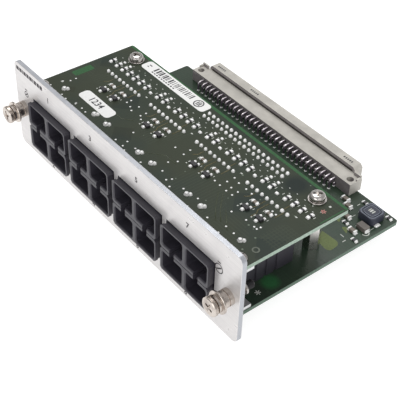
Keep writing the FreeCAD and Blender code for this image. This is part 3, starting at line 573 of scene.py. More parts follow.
class Sheet:
    """Node sheet of one material, with short ways to add what finishes need.

    The colour starts plain, is laid over layer by layer, and goes to the shader
    when the finish is done.
    """

    def __init__(self, name: str, colour: Colour) -> None:
        """Start a sheet with a shader, an output and the object's coordinates.

        Args:
            name: Name of the material.
            colour: Colour that it starts with.
        """
        self.material = bpy.data.materials.new(name)
        self.material.use_nodes = True
        self.tree = self.material.node_tree
        self.tree.nodes.clear()
        self.shader = self.node("ShaderNodeBsdfPrincipled", {})
        self.node("ShaderNodeOutputMaterial", {"Surface": self.shader.outputs["BSDF"]})
        coordinates = self.node("ShaderNodeTexCoord", {})
        self.where, self.normal = coordinates.outputs["Object"], coordinates.outputs["Normal"]
        self.colour: Colour | Socket = colour

    def node(self, kind: str, inputs: dict[str | int, object],
             **settings: object) -> bpy.types.Node:
        """Add a node.

        Args:
            kind: Blender's name of the node.
            inputs: Sockets to link, or values to set, by socket name or number.
            **settings: Properties of the node.

        Returns:
            The new node.
        """
        node = self.tree.nodes.new(kind)
        for key, value in settings.items():
            setattr(node, key, value)
        for key, value in inputs.items():
            self.set(node.inputs[key], value)
        return node

    def set(self, socket: Socket, value: object) -> None:
        """Link or set one socket.

        Args:
            socket: Socket of a node.
            value: Socket to link, colour or plain value.
        """
        if isinstance(value, Socket):
            self.tree.links.new(value, socket)
        elif isinstance(value, tuple) and len(value) == 3 and socket.type == "RGBA":
            socket.default_value = (*value, 1.0)
        else:
            socket.default_value = value

    def put(self, name: str, value: object) -> None:
        """Link or set one socket of the shader."""
        self.set(self.shader.inputs[name], value)

    def lay(self, share: float | Socket, colour: Colour | Socket, how: str = "MIX") -> None:
        """Lay a colour over what there is so far.

        Args:
            share: How much of it covers.
            colour: Colour to lay.
            how: Blender's name of the blend.
        """
        node = self.node("ShaderNodeMix", {}, data_type="RGBA", blend_type=how)
        for number, value in ((0, share), (6, self.colour), (7, colour)):
            self.set(node.inputs[number], value)
        self.colour = node.outputs[2]

    def rough(self, cloud: Socket, middle: float, less: float, more: float,
              start: float = 0.3) -> None:
        """Let the roughness follow a cloud."""
        self.put("Roughness", self.span(cloud, start, 1 - start, middle - less, middle + more))

    def vector(self, operation: str, first: object, second: object) -> bpy.types.Node:
        """One step of vector arithmetic."""
        return self.node("ShaderNodeVectorMath", {0: first, 1: second}, operation=operation)

    def scaled(self, factors: Point) -> Socket:
        """Object coordinates after a scale."""
        return self.vector("MULTIPLY", self.where, factors).outputs[0]

    def noise(self, where: Socket, scale: float, detail: float = 3.0,
              rough: float = 0.55) -> Socket:
        """Cloudy noise from 0 to 1."""
        inputs = {"Vector": where, "Scale": scale, "Detail": detail, "Roughness": rough}
        return self.node("ShaderNodeTexNoise", inputs).outputs[0]

    def cells(self, where: Socket, scale: float, metric: str = "EUCLIDEAN",
              output: str = "Distance", chance: float = 1.0) -> Socket:
        """Cell pattern: distance to the nearest cell point, or the cell's colour."""
        inputs = {"Vector": where, "Scale": scale, "Randomness": chance}
        return self.node("ShaderNodeTexVoronoi", inputs, distance=metric).outputs[output]

    def span(self, value: Socket, start: float, end: float, low: float = 0.0,
             high: float = 1.0) -> Socket:
        """Value from start to end mapped to low to high, held at both ends."""
        inputs = dict(enumerate((value, start, end, low, high)))
        return self.node("ShaderNodeMapRange", inputs).outputs[0]

    def sum(self, operation: str, first: object, second: object = 0.0) -> Socket:
        """One step of arithmetic."""
        return self.node("ShaderNodeMath", {0: first, 1: second}, operation=operation).outputs[0]

    def times(self, first: object, second: object) -> Socket:
        """Product of two values."""
        return self.sum("MULTIPLY", first, second)

    def bump(self, height: Socket, distance: float, strength: float = 1.0) -> None:
        """Raise the surface by a height pattern; further calls add to it.

        Args:
            height: Pattern of the relief.
            distance: Its full height.
            strength: How strongly it shows.
        """
        node = self.node("ShaderNodeBump", {"Strength": strength, "Distance": distance * MM,
                                            "Height": height})
        normal = self.shader.inputs["Normal"]
        if normal.links:
            self.set(node.inputs["Normal"], normal.links[0].from_socket)
        self.set(normal, node.outputs[0])

    def edges(self, radius: float) -> Socket:
        """Mask that is 1 on sharp edges and 0 on flat faces.

        Args:
            radius: How far it reaches from an edge.

        Returns:
            The mask.
        """
        bevel = self.node("ShaderNodeBevel", {"Radius": radius * MM}, samples=4).outputs[0]
        flat = self.node("ShaderNodeNewGeometry", {}).outputs["Normal"]
        return self.span(self.vector("DOT_PRODUCT", bevel, flat).outputs["Value"], 0.98, 0.75)

    def along(self, axis: str, vector: Socket | None = None) -> Socket:
        """One part of a vector, by default of the object's coordinates in metres."""
        return self.node("ShaderNodeSeparateXYZ", {0: vector or self.where}).outputs[axis]

    def lean(self, axis: str) -> Socket:
        """How far the surface faces along one axis of the object."""
        return self.along(axis, self.normal)


@dataclass(frozen=True)
class Finish:
    """A surface finish that can be put on any piece."""

    made: ClassVar[dict[str, bpy.types.Material]] = {}

    name: str
    slot: str
    colour: Colour
    roughness: float = 0.5

    def material(self) -> bpy.types.Material:
        """The finish's material, made on first use.

        Returns:
            The material.
        """
        if self.name not in self.made:
            sheet = Sheet(self.name, self.colour)
            sheet.put("Roughness", self.roughness)
            self.paint(sheet)
            sheet.put("Base Color", sheet.colour)
            self.made[self.name] = sheet.material
        return self.made[self.name]

    def paint(self, sheet: Sheet) -> None:
        """Draw the finish on its node sheet."""
        raise NotImplementedError


@dataclass(frozen=True)
class Metal(Finish):
    """Plated or bare metal with tool marks, haze and edges painted bright, partly wear and partly a
    painted highlight.
    """

    metallic: float = 1.0
    grain: Grain = Grain.NONE
    grain_scale: float = 3000.0
    grain_depth: float = 0.004
    tarnish: Colour = (0.25, 0.22, 0.2)
    tarnish_share: float = 0.25
    edge_share: float = 0.35
    edge_reach: float = 0.12
    haze_scale: float = 260.0
    pits: float = 0.3
    pit_scale: float = 4200.0
    pit_depth: float = 0.002

    def paint(self, sheet: Sheet) -> None:
        """Draw tool marks, tarnish clouds, small pits, and worn edges that also carry a painted
        highlight.

        Args:
            sheet: Node sheet of the material.
        """
        sheet.put("Metallic", self.metallic)
        marks = sheet.noise(sheet.scaled(self.grain.value), self.grain_scale, 4.0, 0.65)
        haze = sheet.noise(sheet.where, self.haze_scale, 4.0)
        sheet.lay(sheet.span(haze, 0.45, 0.75, 0.0, self.tarnish_share), self.tarnish)
        sheet.lay(1.0, sheet.span(marks, 0.3, 0.7, 0.86, 1.0), "MULTIPLY")
        # Edges painted brighter: partly wear, partly a painted highlight.
        edge_highlight = tuple(min(1.0, part * 1.25 + 0.05) for part in self.colour)
        sheet.lay(sheet.times(sheet.edges(self.edge_reach), self.edge_share), edge_highlight)
        sheet.rough(haze, self.roughness, 0.07, 0.1)
        sheet.bump(marks, self.grain_depth)
        pits = sheet.span(sheet.cells(sheet.where, self.pit_scale), 0.0, 0.16)
        sheet.bump(pits, self.pit_depth, self.pits)


@dataclass(frozen=True)
class EdgeShaded(Metal):
    """Metal plate whose cut edges are painted cooler and darker than its faces: painted shade where they
    catch less light.
    """

    # Painted shade: colour laid on the cut edges, which face neither forward nor back.
    cut: Colour = (0.45, 0.465, 0.5)

    def paint(self, sheet: Sheet) -> None:
        """Draw the metal, then paint shade on what does not look forward or back."""
        super().paint(sheet)
        # Painted shade on the faces that look neither forward nor back.
        sheet.lay(sheet.span(sheet.sum("ABSOLUTE", sheet.lean("Y")), 0.6, 0.2), self.cut)


@dataclass(frozen=True)
class Moulded(Finish):
    """Moulded plastic or ceramic with a fine grain, flecks and edges painted lighter as a painted
    highlight.
    """

    grain_scale: float = 4200.0
    grain_depth: float = 0.006
    fleck: Colour = (0.5, 0.5, 0.5)
    fleck_share: float = 0.0
    fleck_scale: float = 2600.0
    edge: Colour = (0.3, 0.3, 0.3)
    edge_share: float = 0.2
    edge_reach: float = 0.14
    cloud_scale: float = 160.0
    coat: float = 0.0

    def paint(self, sheet: Sheet) -> None:
        """Draw the grain, colour clouds, flecks and painted highlights on the edges.

        Args:
            sheet: Node sheet of the material.
        """
        sheet.put("Coat Weight", self.coat)
        cloud = sheet.noise(sheet.where, self.cloud_scale, 4.0)
        sheet.colour = shade(self.colour, 0.78)
        sheet.lay(sheet.span(cloud, 0.35, 0.7), self.colour)
        specks = sheet.cells(sheet.where, self.fleck_scale)
        sheet.lay(sheet.span(specks, 0.16, 0.06, 0.0, self.fleck_share), self.fleck)
        # Painted highlight along the edges.
        sheet.lay(sheet.times(sheet.edges(self.edge_reach), self.edge_share), self.edge)
        sheet.rough(cloud, self.roughness, 0.05, 0.08)
        sheet.bump(sheet.noise(sheet.where, self.grain_scale, 2.0), self.grain_depth)


@dataclass(frozen=True)
class Fronted(Moulded):
    """Moulding whose front faces are painted lighter: a painted sheen for the light they catch."""

    limit: float = -4.4  # faces ahead of this Y get the painted sheen
    painted_sheen: Colour = (0.045, 0.043, 0.052)

    def paint(self, sheet: Sheet) -> None:
        """Draw the moulding, then paint a sheen on what looks forward at the very front.

        Args:
            sheet: Node sheet of the material.
        """
        super().paint(sheet)
        # Painted sheen: front faces at the very front are laid lighter, in patches.
        ahead = sheet.span(sheet.along("Y"), self.limit * MM, (self.limit - 0.05) * MM)
        facing = sheet.span(sheet.lean("Y"), -0.5, -0.9)
        sheen_patches = sheet.span(sheet.noise(sheet.where, 500.0), 0.3, 0.7, 0.55, 1.0)
        sheet.lay(sheet.times(sheet.times(ahead, facing), sheen_patches), self.painted_sheen)


@dataclass(frozen=True)
class Shadowed(Moulded):
    """Moulding with painted shade where it looks forward, under the contacts."""

    under_contact_shade: Colour = (0.19, 0.165, 0.19)

    def paint(self, sheet: Sheet) -> None:
        """Draw the moulding, then paint shade on what looks forward.

        Args:
            sheet: Node sheet of the material.
        """
        super().paint(sheet)
        # Painted shade on the faces that look forward, in patches.
        facing = sheet.span(sheet.lean("Y"), -0.6, -0.95, 0.0, 0.85)
        patchy = sheet.span(sheet.noise(sheet.where, 600.0), 0.3, 0.7, 0.7, 1.0)
        sheet.lay(sheet.times(facing, patchy), self.under_contact_shade)


@dataclass(frozen=True)
class BentLead(Metal):
    """Bent contacts in a row: painted dark on their flanks as painted shade, with a painted highlight
    along the top of each.
    """

    # Painted shade on the contacts' flanks.
    side: Colour = (0.21, 0.17, 0.22)
    first: float = -44.77  # X of the first contact
    pitch: float = 2.54

    def paint(self, sheet: Sheet) -> None:
        """Draw the plating, then paint shade over all but a painted highlight line along each top.

        Args:
            sheet: Node sheet of the material.
        """
        super().paint(sheet)
        highlight_colour, sheet.colour = sheet.colour, self.side
        # Painted highlight: a line along each contact's top keeps the bright plating; the rest is painted
        # shade.
        top = sheet.span(sheet.lean("Z"), 0.2, 0.7)
        turns = sheet.times(sheet.sum("SUBTRACT", sheet.along("X"), self.first * MM),
                            1 / (self.pitch * MM))
        phase = sheet.sum("FRACT", sheet.sum("ADD", turns, 100.5))
        line = sheet.times(sheet.span(phase, 0.35, 0.39), sheet.span(phase, 0.57, 0.52))
        sheet.lay(sheet.times(top, line), highlight_colour)


@dataclass(frozen=True)
class Laminate(Finish):
    """Printed board: masked copper on its faces, glass weave on its edges."""

    middle: float = 0.0  # height of the board's middle
    thickness: float = 1.6
    trace: Colour = (0.075, 0.11, 0.065)
    rim: Colour = (0.28, 0.42, 0.3)
    gloss: float = 0.25
    second: Colour = (0.036, 0.042, 0.026)
    light_and_shade_spots: tuple[tuple[float, float, float, Colour], ...] = ()  # X, Y, radius and colour of soft spots of painted light and shade
    pitch: float = 1.27  # of traces in a bundle
    bundle_starts: Spot = (0.6, 0.8)  # zones above these values have traces
    zone_scale: float = 75.0
    pour_scale: float = 46.0
    via_scale: float = 300.0
    cloud_scale: float = 55.0
    area_scale: float = 38.0
    pour_share: float = 0.35
    trace_share: float = 0.5
    via_colour: Colour = (0.3, 0.36, 0.28)
    relief: float = 0.012
    grain_scale: float = 2200.0
    grain_depth: float = 0.004
    weave_scale: float = 4200.0

    def paint(self, sheet: Sheet) -> None:
        """Draw copper, clouds, painted spots of light and shade, vias and the laminate's edge.

        Args:
            sheet: Node sheet of the material.
        """
        sheet.put("Specular IOR Level", self.gloss)
        flat = sheet.scaled((1, 1, 0))
        cells = sheet.cells(flat, self.zone_scale, "CHEBYCHEV", "Color", 0.8)
        zones = sheet.node("ShaderNodeSeparateColor", {0: cells}).outputs
        lines = sheet.sum("MAXIMUM", *(
            self.bundle(sheet, axis, zones[zone], self.bundle_starts[zone])
            for zone, axis in enumerate("XY")))
        copper = sheet.cells(flat, self.pour_scale, "MANHATTAN", "Distance", 0.9)
        pour = sheet.span(copper, 0.42, 0.44)
        cloud = sheet.noise(sheet.where, self.cloud_scale, 5.0)
        areas = sheet.noise(sheet.where, self.area_scale, 2.0)
        sheet.colour = shade(self.colour, 0.82)
        sheet.lay(sheet.span(cloud, 0.3, 0.7), self.colour)
        sheet.lay(sheet.span(areas, 0.42, 0.6), self.second)
        sheet.lay(sheet.times(pour, self.pour_share), self.trace)
        sheet.lay(sheet.times(lines, self.trace_share), self.trace)
        # Soft round spots of painted light and shade.
        for x, y, radius, colour in self.light_and_shade_spots:
            away = sheet.vector("DISTANCE", flat, (x * MM, y * MM, 0)).outputs["Value"]
            sheet.lay(sheet.span(away, radius * MM, radius * 0.45 * MM, 0.0, 0.85), colour)
        dots = sheet.cells(flat, self.via_scale, "EUCLIDEAN", "Distance", 0.75)
        via = sheet.times(sheet.span(dots, 0.12, 0.09), sheet.span(zones[2], 0.55, 0.57))
        sheet.lay(sheet.times(via, 0.5), self.via_colour)
        self.cut_edge(sheet)
        sheet.rough(cloud, self.roughness, 0.04, 0.08)
        raised = sheet.sum("ADD", lines, sheet.times(pour, 0.6))
        sheet.bump(sheet.sum("SUBTRACT", raised, via), self.relief, 0.5)
        sheet.bump(sheet.noise(sheet.where, self.grain_scale, 2.0), self.grain_depth, 0.5)

    def bundle(self, sheet: Sheet, axis: str, zone: Socket, start: float) -> Socket:
        """Parallel traces in some of the board's zones.

        Args:
            sheet: Node sheet of the material.
            axis: Axis that the traces cross.
            zone: Value that each zone has.
            start: Zones above this value have traces.

        Returns:
            Mask of the traces.
        """
        wave = sheet.sum("PINGPONG", sheet.times(sheet.along(axis), 1 / (self.pitch * MM)), 0.5)
        return sheet.times(sheet.span(wave, 0.34, 0.38), sheet.span(zone, start, start + 0.02))

    def cut_edge(self, sheet: Sheet) -> None:
        """Show the glass weave on the board's cut edge.

        Args:
            sheet: Node sheet of the material.
        """
        face, half = sheet.colour, self.thickness / 2
        sheet.colour = shade(self.rim, 0.7)
        weave = sheet.noise(sheet.scaled((0.25, 0.25, 1)), self.weave_scale, 2.0)
        sheet.lay(sheet.span(weave, 0.35, 0.65), self.rim)
        edge, sheet.colour = sheet.colour, face
        off = sheet.sum("ABSOLUTE", sheet.sum("SUBTRACT", sheet.along("Z"), self.middle * MM))
        sheet.lay(sheet.span(off, (half - 0.02) * MM, (half - 0.04) * MM), edge)


@dataclass(frozen=True)
class Film(Finish):
    """Printed film or ink: even colour with fine mottling."""

    mottle: float = 0.08
    gloss: float = 0.3

    def paint(self, sheet: Sheet) -> None:
        """Draw a faint mottle and a soft waviness.

        Args:
            sheet: Node sheet of the material.
        """
        sheet.put("Specular IOR Level", self.gloss)
        fine = sheet.noise(sheet.where, 1500.0)
        sheet.colour = shade(self.colour, 1 - self.mottle)
        sheet.lay(sheet.span(fine, 0.35, 0.65), self.colour)
        sheet.bump(sheet.noise(sheet.where, 300.0, 2.0), 0.03, 0.3)
        sheet.bump(fine, 0.003, 0.5)


@dataclass(frozen=True)
class Solder(Finish):
    """Bright solder that froze with small wrinkles."""

    def paint(self, sheet: Sheet) -> None:
        """Draw wrinkles and dull patches.

        Args:
            sheet: Node sheet of the material.
        """
        sheet.put("Metallic", 0.05)
        sheet.put("Specular IOR Level", 0.9)
        dull = sheet.noise(sheet.where, 700.0, 2.0)
        sheet.lay(sheet.span(dull, 0.45, 0.65), shade(self.colour, 0.84))
        sheet.rough(dull, self.roughness, 0.08, 0.15, 0.35)
        sheet.bump(sheet.noise(sheet.where, 1500.0), 0.03, 0.6)


@dataclass(frozen=True)
class Winding(Finish):
    """Enamelled wire laid turn on turn."""

    turn: float = 0.35

    def paint(self, sheet: Sheet) -> None:
        """Draw each turn as a rounded ridge, with painted shade in the grooves between turns.

        Args:
            sheet: Node sheet of the material.
        """
        sheet.put("Metallic", 0.7)
        ridge = sheet.sum("PINGPONG", sheet.times(sheet.along("Z"), 1 / (self.turn * MM)), 0.5)
        # Painted shade in the grooves between turns.
        sheet.colour = shade(self.colour, 0.35)
        sheet.lay(sheet.span(ridge, 0.02, 0.3), self.colour)
        sheet.bump(ridge, 0.12)


# The panel's cut edges carry painted shade.
PANEL = EdgeShaded("anodised_panel", "panel_metal", (0.73, 0.71, 0.705), 0.34, metallic=0.5,
                grain=Grain.ALONG_X, grain_scale=2600.0, grain_depth=0.0006,
                tarnish=(0.66, 0.65, 0.67), tarnish_share=0.2, edge_share=0.4, pits=0.0)
NICKEL = Metal("nickel_plate", "nickel_metal", (0.63, 0.57, 0.52), 0.22, grain=Grain.ROUND_Y,
               grain_scale=5200.0, grain_depth=0.006, tarnish=(0.14, 0.10, 0.09),
               tarnish_share=0.6)
# Painted shade: dark finish for the part of the screw behind the panel.
SHADED_SHANK = Metal("shank_painted_shade", "nickel_metal", (0.035, 0.033, 0.036), 0.5, metallic=0.2,
              grain=Grain.ROUND_Y, grain_depth=0.004, tarnish=(0.02, 0.02, 0.02), edge_share=0.1)
POST_NICKEL = Metal("drawn_nickel", "nickel_metal", (0.74, 0.72, 0.69), 0.26,
                    grain=Grain.ALONG_Z, grain_depth=0.003, tarnish_share=0.2)
ZINC = Metal("bright_zinc_plate", "bright_zinc", (0.62, 0.59, 0.565), 0.2, grain_depth=0.004,
             tarnish=(0.2, 0.17, 0.17), tarnish_share=0.45)
SHEET_ZINC = Metal("zinc_sheet", "bracket_metal", (0.76, 0.77, 0.78), 0.34, metallic=0.7,
                   grain=Grain.ALONG_Z, grain_depth=0.003)
TIN = Metal("tin_plate", "tinned_metal", (0.62, 0.60, 0.61), 0.3, grain=Grain.ALONG_Z,
            grain_depth=0.003, tarnish=(0.2, 0.18, 0.22), tarnish_share=0.4)
GOLD = Metal("gold_flash", "gold_metal", (0.80, 0.60, 0.26), 0.25, grain=Grain.ALONG_Z,
             grain_depth=0.002)
# Contacts: bright colour for the painted highlight along their tops.
LEAD = BentLead("bent_lead", "tinned_metal", (0.84, 0.79, 0.81), 0.36, metallic=0.65,
                grain=Grain.ALONG_Y, grain_depth=0.002, tarnish=(0.2, 0.15, 0.18),
                tarnish_share=0.3)
SOLDER = Solder("bright_solder", "tinned_metal", (0.98, 0.98, 0.97), 0.24)
# Module housings carry a painted sheen on their front faces and painted highlights on their edges.
MODULE = Fronted("module_black", "module_plastic", (0.040, 0.037, 0.049), 0.42,
                 edge=(0.17, 0.165, 0.19), edge_share=0.85)
INSERT = Moulded("insert_grey", "insert_plastic", (0.060, 0.058, 0.070), 0.45,
                 edge=(0.22, 0.22, 0.24), edge_share=0.6)
HEADER = Moulded("header_black", "black_plastic", (0.03, 0.028, 0.032), 0.5,
                 edge=(0.12, 0.12, 0.12), edge_share=0.4)
# The connector's forward faces carry painted shade.
CONNECTOR = Shadowed("connector_beige", "connector_plastic", (0.59, 0.565, 0.515), 0.5,
                    grain_depth=0.01, fleck=(0.38, 0.35, 0.3), fleck_share=0.5,
                    edge=(0.74, 0.72, 0.66), edge_share=0.4)
EPOXY = Moulded("chip_epoxy", "chip_plastic", (0.032, 0.031, 0.034), 0.55,
                grain_depth=0.01, edge=(0.1, 0.1, 0.1), edge_share=0.4)
FERRITE = Moulded("ferrite", "ferrite", (0.045, 0.05, 0.075), 0.42, grain_depth=0.012,
                  edge=(0.17, 0.18, 0.23), edge_share=0.6)
TANTALUM = Moulded("tantalum_moulding", "tantalum_plastic", (0.17, 0.15, 0.135), 0.5,
                   edge=(0.28, 0.24, 0.2), edge_share=0.4)
CERAMIC = Moulded("fired_ceramic", "ceramic", (0.21, 0.18, 0.15), 0.45, grain_depth=0.008,
                  edge=(0.5, 0.43, 0.34), edge_share=0.4)
RESISTOR = Moulded("resistor_glaze", "resistor_ceramic", (0.04, 0.04, 0.045), 0.3,
                   edge=(0.3, 0.3, 0.3), edge_share=0.3, coat=0.3)
WIRE = Winding("enamelled_wire", "copper_wire", (0.62, 0.30, 0.13), 0.3)
PAPER = Film("label_film", "label_paper", (0.88, 0.88, 0.87), 0.42, mottle=0.04)
INK = Film("dark_ink", "label_paper", (0.06, 0.06, 0.065), 0.5)
PANEL_INK = Film("panel_ink", "panel_metal", (0.035, 0.03, 0.035), 0.45)
SILK = Film("white_ink", "board_laminate", (0.62, 0.64, 0.6), 0.5)
RED_INK = Film("red_ink", "board_laminate", (0.55, 0.25, 0.22), 0.5)
BARE = Film("light_mask", "board_laminate", (0.145, 0.19, 0.06), 0.3, mottle=0.25)
GREEN = Film("green_mask", "board_laminate", (0.03, 0.12, 0.04), 0.3, mottle=0.3)
OCHRE = Film("covered_copper", "board_laminate", (0.13, 0.115, 0.055), 0.3, mottle=0.3)
PALE_TRACE = Film("pale_trace", "board_laminate", (0.07, 0.085, 0.05), 0.3, mottle=0.3)
SHADED = Moulded("connector_shade", "connector_plastic", (0.05, 0.045, 0.04), 0.7)
DIM = Film("dim_copper", "board_laminate", (0.13, 0.15, 0.115), 0.35, mottle=0.3)
OUTLINE = Film("grey_ink", "ferrite", (0.25, 0.28, 0.34), 0.45)
# Upper board: its dark spot is painted shade.
UPPER_MASK = Laminate(
    "upper_board_mask", "board_laminate", (0.028, 0.040, 0.032), 0.38,
    middle=Extent.of("upper_board").centre.z, trace=(0.052, 0.066, 0.044),
    rim=(0.42, 0.54, 0.45), gloss=0.15, light_and_shade_spots=((42.5, 43.4, 6.0, (0.014, 0.022, 0.021)),))
# Lower board: its bright green spot is painted light.
LOWER_MASK = Laminate(
    "lower_board_mask", "board_laminate", (0.030, 0.051, 0.035), 0.22,
    middle=Extent.of("lower_board").centre.z, trace=(0.036, 0.066, 0.040),
    rim=(0.05, 0.12, 0.07), gloss=0.5, second=(0.032, 0.046, 0.032),
    light_and_shade_spots=((57.3, 20.5, 4.2, (0.03, 0.15, 0.05)),))


def settle(piece: Piece, finish: Finish, body: Body = Body.CARD, stands_for: Sequence[str] = ()) -> Piece:
    """Shrink a finished shape to metres, dress it and fix it to its body.

    Args:
        piece: Shape in millimetres.
        finish: Its surface finish.
        body: Body that it rides on.
        stands_for: CAD nodes that it is shown in place of.

    Returns:
        The settled piece.
    """
    place(piece, Matrix.Scale(MM, 4))
    piece.data.materials.clear()
    piece.data.materials.append(finish.material())
    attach(piece, body.value)
    if stands_for:
        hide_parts(*stands_for)
    LOG.info("%s: %d faces, %s", piece.name, len(piece.data.polygons), finish.name)
    return piece


def dress(node: str, finish: Finish) -> None:
    """Put a finish on a CAD node that is shown as it is.

    Args:
        node: Name of the CAD node.
        finish: Its surface finish.
    """
    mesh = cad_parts[node].data
    mesh.materials.clear()
    mesh.materials.append(finish.material())


def rounded(node: str, name: str, finish: Finish, width: float, segments: int = 2,
            held: bool = True) -> Piece:
    """Show a copy of a CAD node, with its sharp edges rounded off, in its place.

    Args:
        node: Name of the CAD node.
        name: Name of the copy.
        finish: Its surface finish.
        width: Width of the rounding.
        segments: Facets across it.
        held: Whether the width gives way where edges lie close together.

    Returns:
        The settled copy.
    """
    piece = place(linked(name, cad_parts[node].data.copy()), Matrix.Scale(1 / MM, 4))
    with editing(piece):
        bpy.ops.mesh.remove_doubles(threshold=WELD)
        bpy.ops.mesh.customdata_custom_splitnormals_clear()
        bpy.ops.mesh.dissolve_limited(angle_limit=math.radians(FLAT))
    smooth(piece, CREASE)
    rounding = piece.modifiers.new("rounding", "BEVEL")
    rounding.width = width
    rounding.segments = segments
    rounding.limit_method = "ANGLE"
    rounding.angle_limit = math.radians(CREASE)
    rounding.harden_normals = True
    rounding.use_clamp_overlap = held
    apply_modifiers(piece)
    with editing(piece):
        bpy.ops.mesh.remove_doubles(threshold=FINE_WELD)
    return settle(piece, finish, stands_for=[node])


# ---- Sub-assemblies ----------------------------------------------------------
class Assembly:
    """A group of pieces that belongs together on the card."""

    title: ClassVar[str] = "assembly"
    softened: ClassVar[Sequence[tuple[str, str, Finish, float]]] = ()  # node, piece, width
    dressed: ClassVar[dict[str, Finish]] = {}

    def build(self) -> list[Piece]:
        """Round off some of the group's CAD nodes and dress others.

        Returns:
            The rounded pieces.
        """
        for node, finish in self.dressed.items():
            dress(node, finish)
        return [rounded(*row) for row in self.softened]

    def report(self) -> None:
        """Build the group and log what came of it."""
        pieces = self.build()
        faces = sum(len(piece.data.polygons) for piece in pieces)
        LOG.info("%s: %d pieces, %d faces", self.title, len(pieces), faces)


ROW_PLACES = [-57.15 + 3.81 * index for index in range(31)]  # X along the long row of parts
STAGE_OFFSETS = (-0.8, 6.2)  # X of the driver stages beside each column of modules


def face_of(board: str) -> float:
    """Height of a board's upper face."""
    return Extent.of(board + "_board").high.z


def module_centres() -> list[float]:
    """X of the four columns of modules."""
    return [Extent.of(f"upper_module_{number}").centre.x for number in range(1, 5)]


def stage_places() -> list[float]:
    """X of the driver stages, two beside each column of modules."""
    return [x + offset for x in module_centres() for offset in STAGE_OFFSETS]


@dataclass
class FrontPanel(Assembly):
    """Panel plate with its printed figures and marks."""

    title: ClassVar[str] = "front panel"
    softness: float = 0.22
    figure_height: float = 2.2
    figure_levels: Spot = (13.3, -17.1)
    figure_shift: float = -1.6
    bar_widths: Sequence[float] = (1.9, 1.7, 0.6, 1.8, 1.7, 1.9, 0.6, 1.8, 1.6, 1.8)
    bar_gap: float = 0.35
    bar_level: float = 16.55
    mark_places: Sequence[Point] = ((-59.6, 7.2, 1.35), (56.6, 7.4, 2.0))  # X, Z, radius

    def build(self) -> list[Piece]:
        """Model the plate and its print.

        Returns:
            The plate, its figures, bars and screw marks.
        """
        sheet = rounded("front_panel", "panel_plate", PANEL, self.softness, held=False)
        extent = Extent.of("front_panel")
        figures = [written(text, self.figure_height, (x + self.figure_shift, extent.low.y, level),
                           Facing.FRONT, 0.09)
                   for x, pair in zip(module_centres(), ("12", "34", "56", "78"))
                   for text, level in zip(pair, self.figure_levels)]
        rows, left = [], extent.low.x + 1.6
        for width in self.bar_widths:
            rows.append((left + width / 2, self.bar_level, width, 1.7))
            left += width + self.bar_gap
        print_shapes = [joined(figures, "panel_figures"),
                        bars("panel_bars", rows, extent.low.y, Facing.FRONT),
                        self.screw_marks(extent.low.y)]
        return [sheet, *(settle(shape, PANEL_INK) for shape in print_shapes)]

    def screw_marks(self, front: float) -> Piece:
        """Round mark with a turned slot above the inner side of each screw.

        Args:
            front: Y of the panel's face.

        Returns:
            Both marks.
        """
        marks = []
        for x, z, radius in self.mark_places:
            turn = Matrix.Translation((x, front, z)) @ Facing.FRONT.tilt
            slit = block("slot", (0, 0, LAYER / 2), (radius * 1.4, 0.5, LAYER))
            dash = block("dash", (0, radius + 0.7, LAYER / 2), (1.5, 0.4, LAYER))
            marks += [place(ring("mark", radius, radius - 0.36, LAYER), turn),
                      place(slit, turn @ turned("Z", 35)), place(dash, turn)]
        return joined(marks, "panel_screw_marks")


@dataclass
class CaptiveScrew(Assembly):
    """Thumb screw: knurled head with a cross recess, rim, neck and threaded shank."""

    title: ClassVar[str] = "captive screw"
    side: str = "left"
    body: Body = Body.SCREW_LEFT
    lean: float = 18  # degrees that the recess is turned
    sides: int = 52
    pitch: float = 0.5
    thread: Spot = (-7.4, -4.6)
    knurl: Spot = (8.8, 9.9)
    knurl_rows: int = 4
    knurl_lift: float = 0.09
    recess: Point = (4.0, 0.95, 1.6)
    recess_level: float = 9.7
    shank_from: float = 2.5  # behind this Y the screw is painted dark: painted shade behind the panel

    def profile(self) -> list[Spot]:
        """Rings of the turned screw.

        Returns:
            Radius and distance in front of the rear face of each ring, from the tip.
        """
        points = [(0.0, -8.0), (0.95, -8.0), (1.28, -7.6)]
        level = self.thread[0]
        while level < self.thread[1]:
            points += [(1.48, level), (1.48, level + 0.12), (1.24, level + 0.25),
                       (1.24, level + 0.37)]
            level += self.pitch
        points += [(1.15, -4.35), (1.15, -3.65), (1.5, -3.6), (1.5, 6.0), (4.05, 6.0),
                   (4.2, 6.15), (4.2, 6.65), (4.05, 6.8), (3.35, 6.8), (3.2, 6.85), (3.3, 8.15),
                   (2.55, 8.25), (2.55, 8.7), (3.28, 8.72)]
        points += [(3.40, self.knurl[0] + 1.1 * step / self.knurl_rows)
                   for step in range(self.knurl_rows + 1)]
        return [*points, (3.15, 10.14), (2.75, 10.2), (2.3, 10.2), (1.2, 10.16), (0.0, 10.14)]

    def build(self) -> list[Piece]:
        """Turn the screw, knurl its head and sink its recess.

        Returns:
            The screw.
        """
        node = f"captive_screw_{self.side}"
        centre = Extent.of(node).centre
        screw = stacked(node + "_turned", self.profile(), self.sides)
        low, high = self.knurl
        with editing(screw):
            choose(screw, lambda c, n: low < c.z < high and math.hypot(c.x, c.y) > 3.3)
            bpy.ops.mesh.inset(thickness=0.05, depth=self.knurl_lift, use_individual=True)
        sink_recess(screw, self.recess, self.recess_level)
        place(screw, Matrix.Translation((centre.x, 0, centre.z)) @ Facing.FRONT.tilt
              @ turned("Z", self.lean))
        smooth(screw, 32)
        settle(screw, NICKEL, self.body, [node])
        # The screw behind the panel gets a dark finish: painted shade.
        screw.data.materials.append(SHADED_SHANK.material())
        for face in screw.data.polygons:
            if face.center.y > self.shank_from * MM:
                face.material_index = 1
        dress(f"retaining_ring_{self.side}", ZINC)
        dress(f"screw_ferrule_{self.side}", NICKEL)
        return [screw]


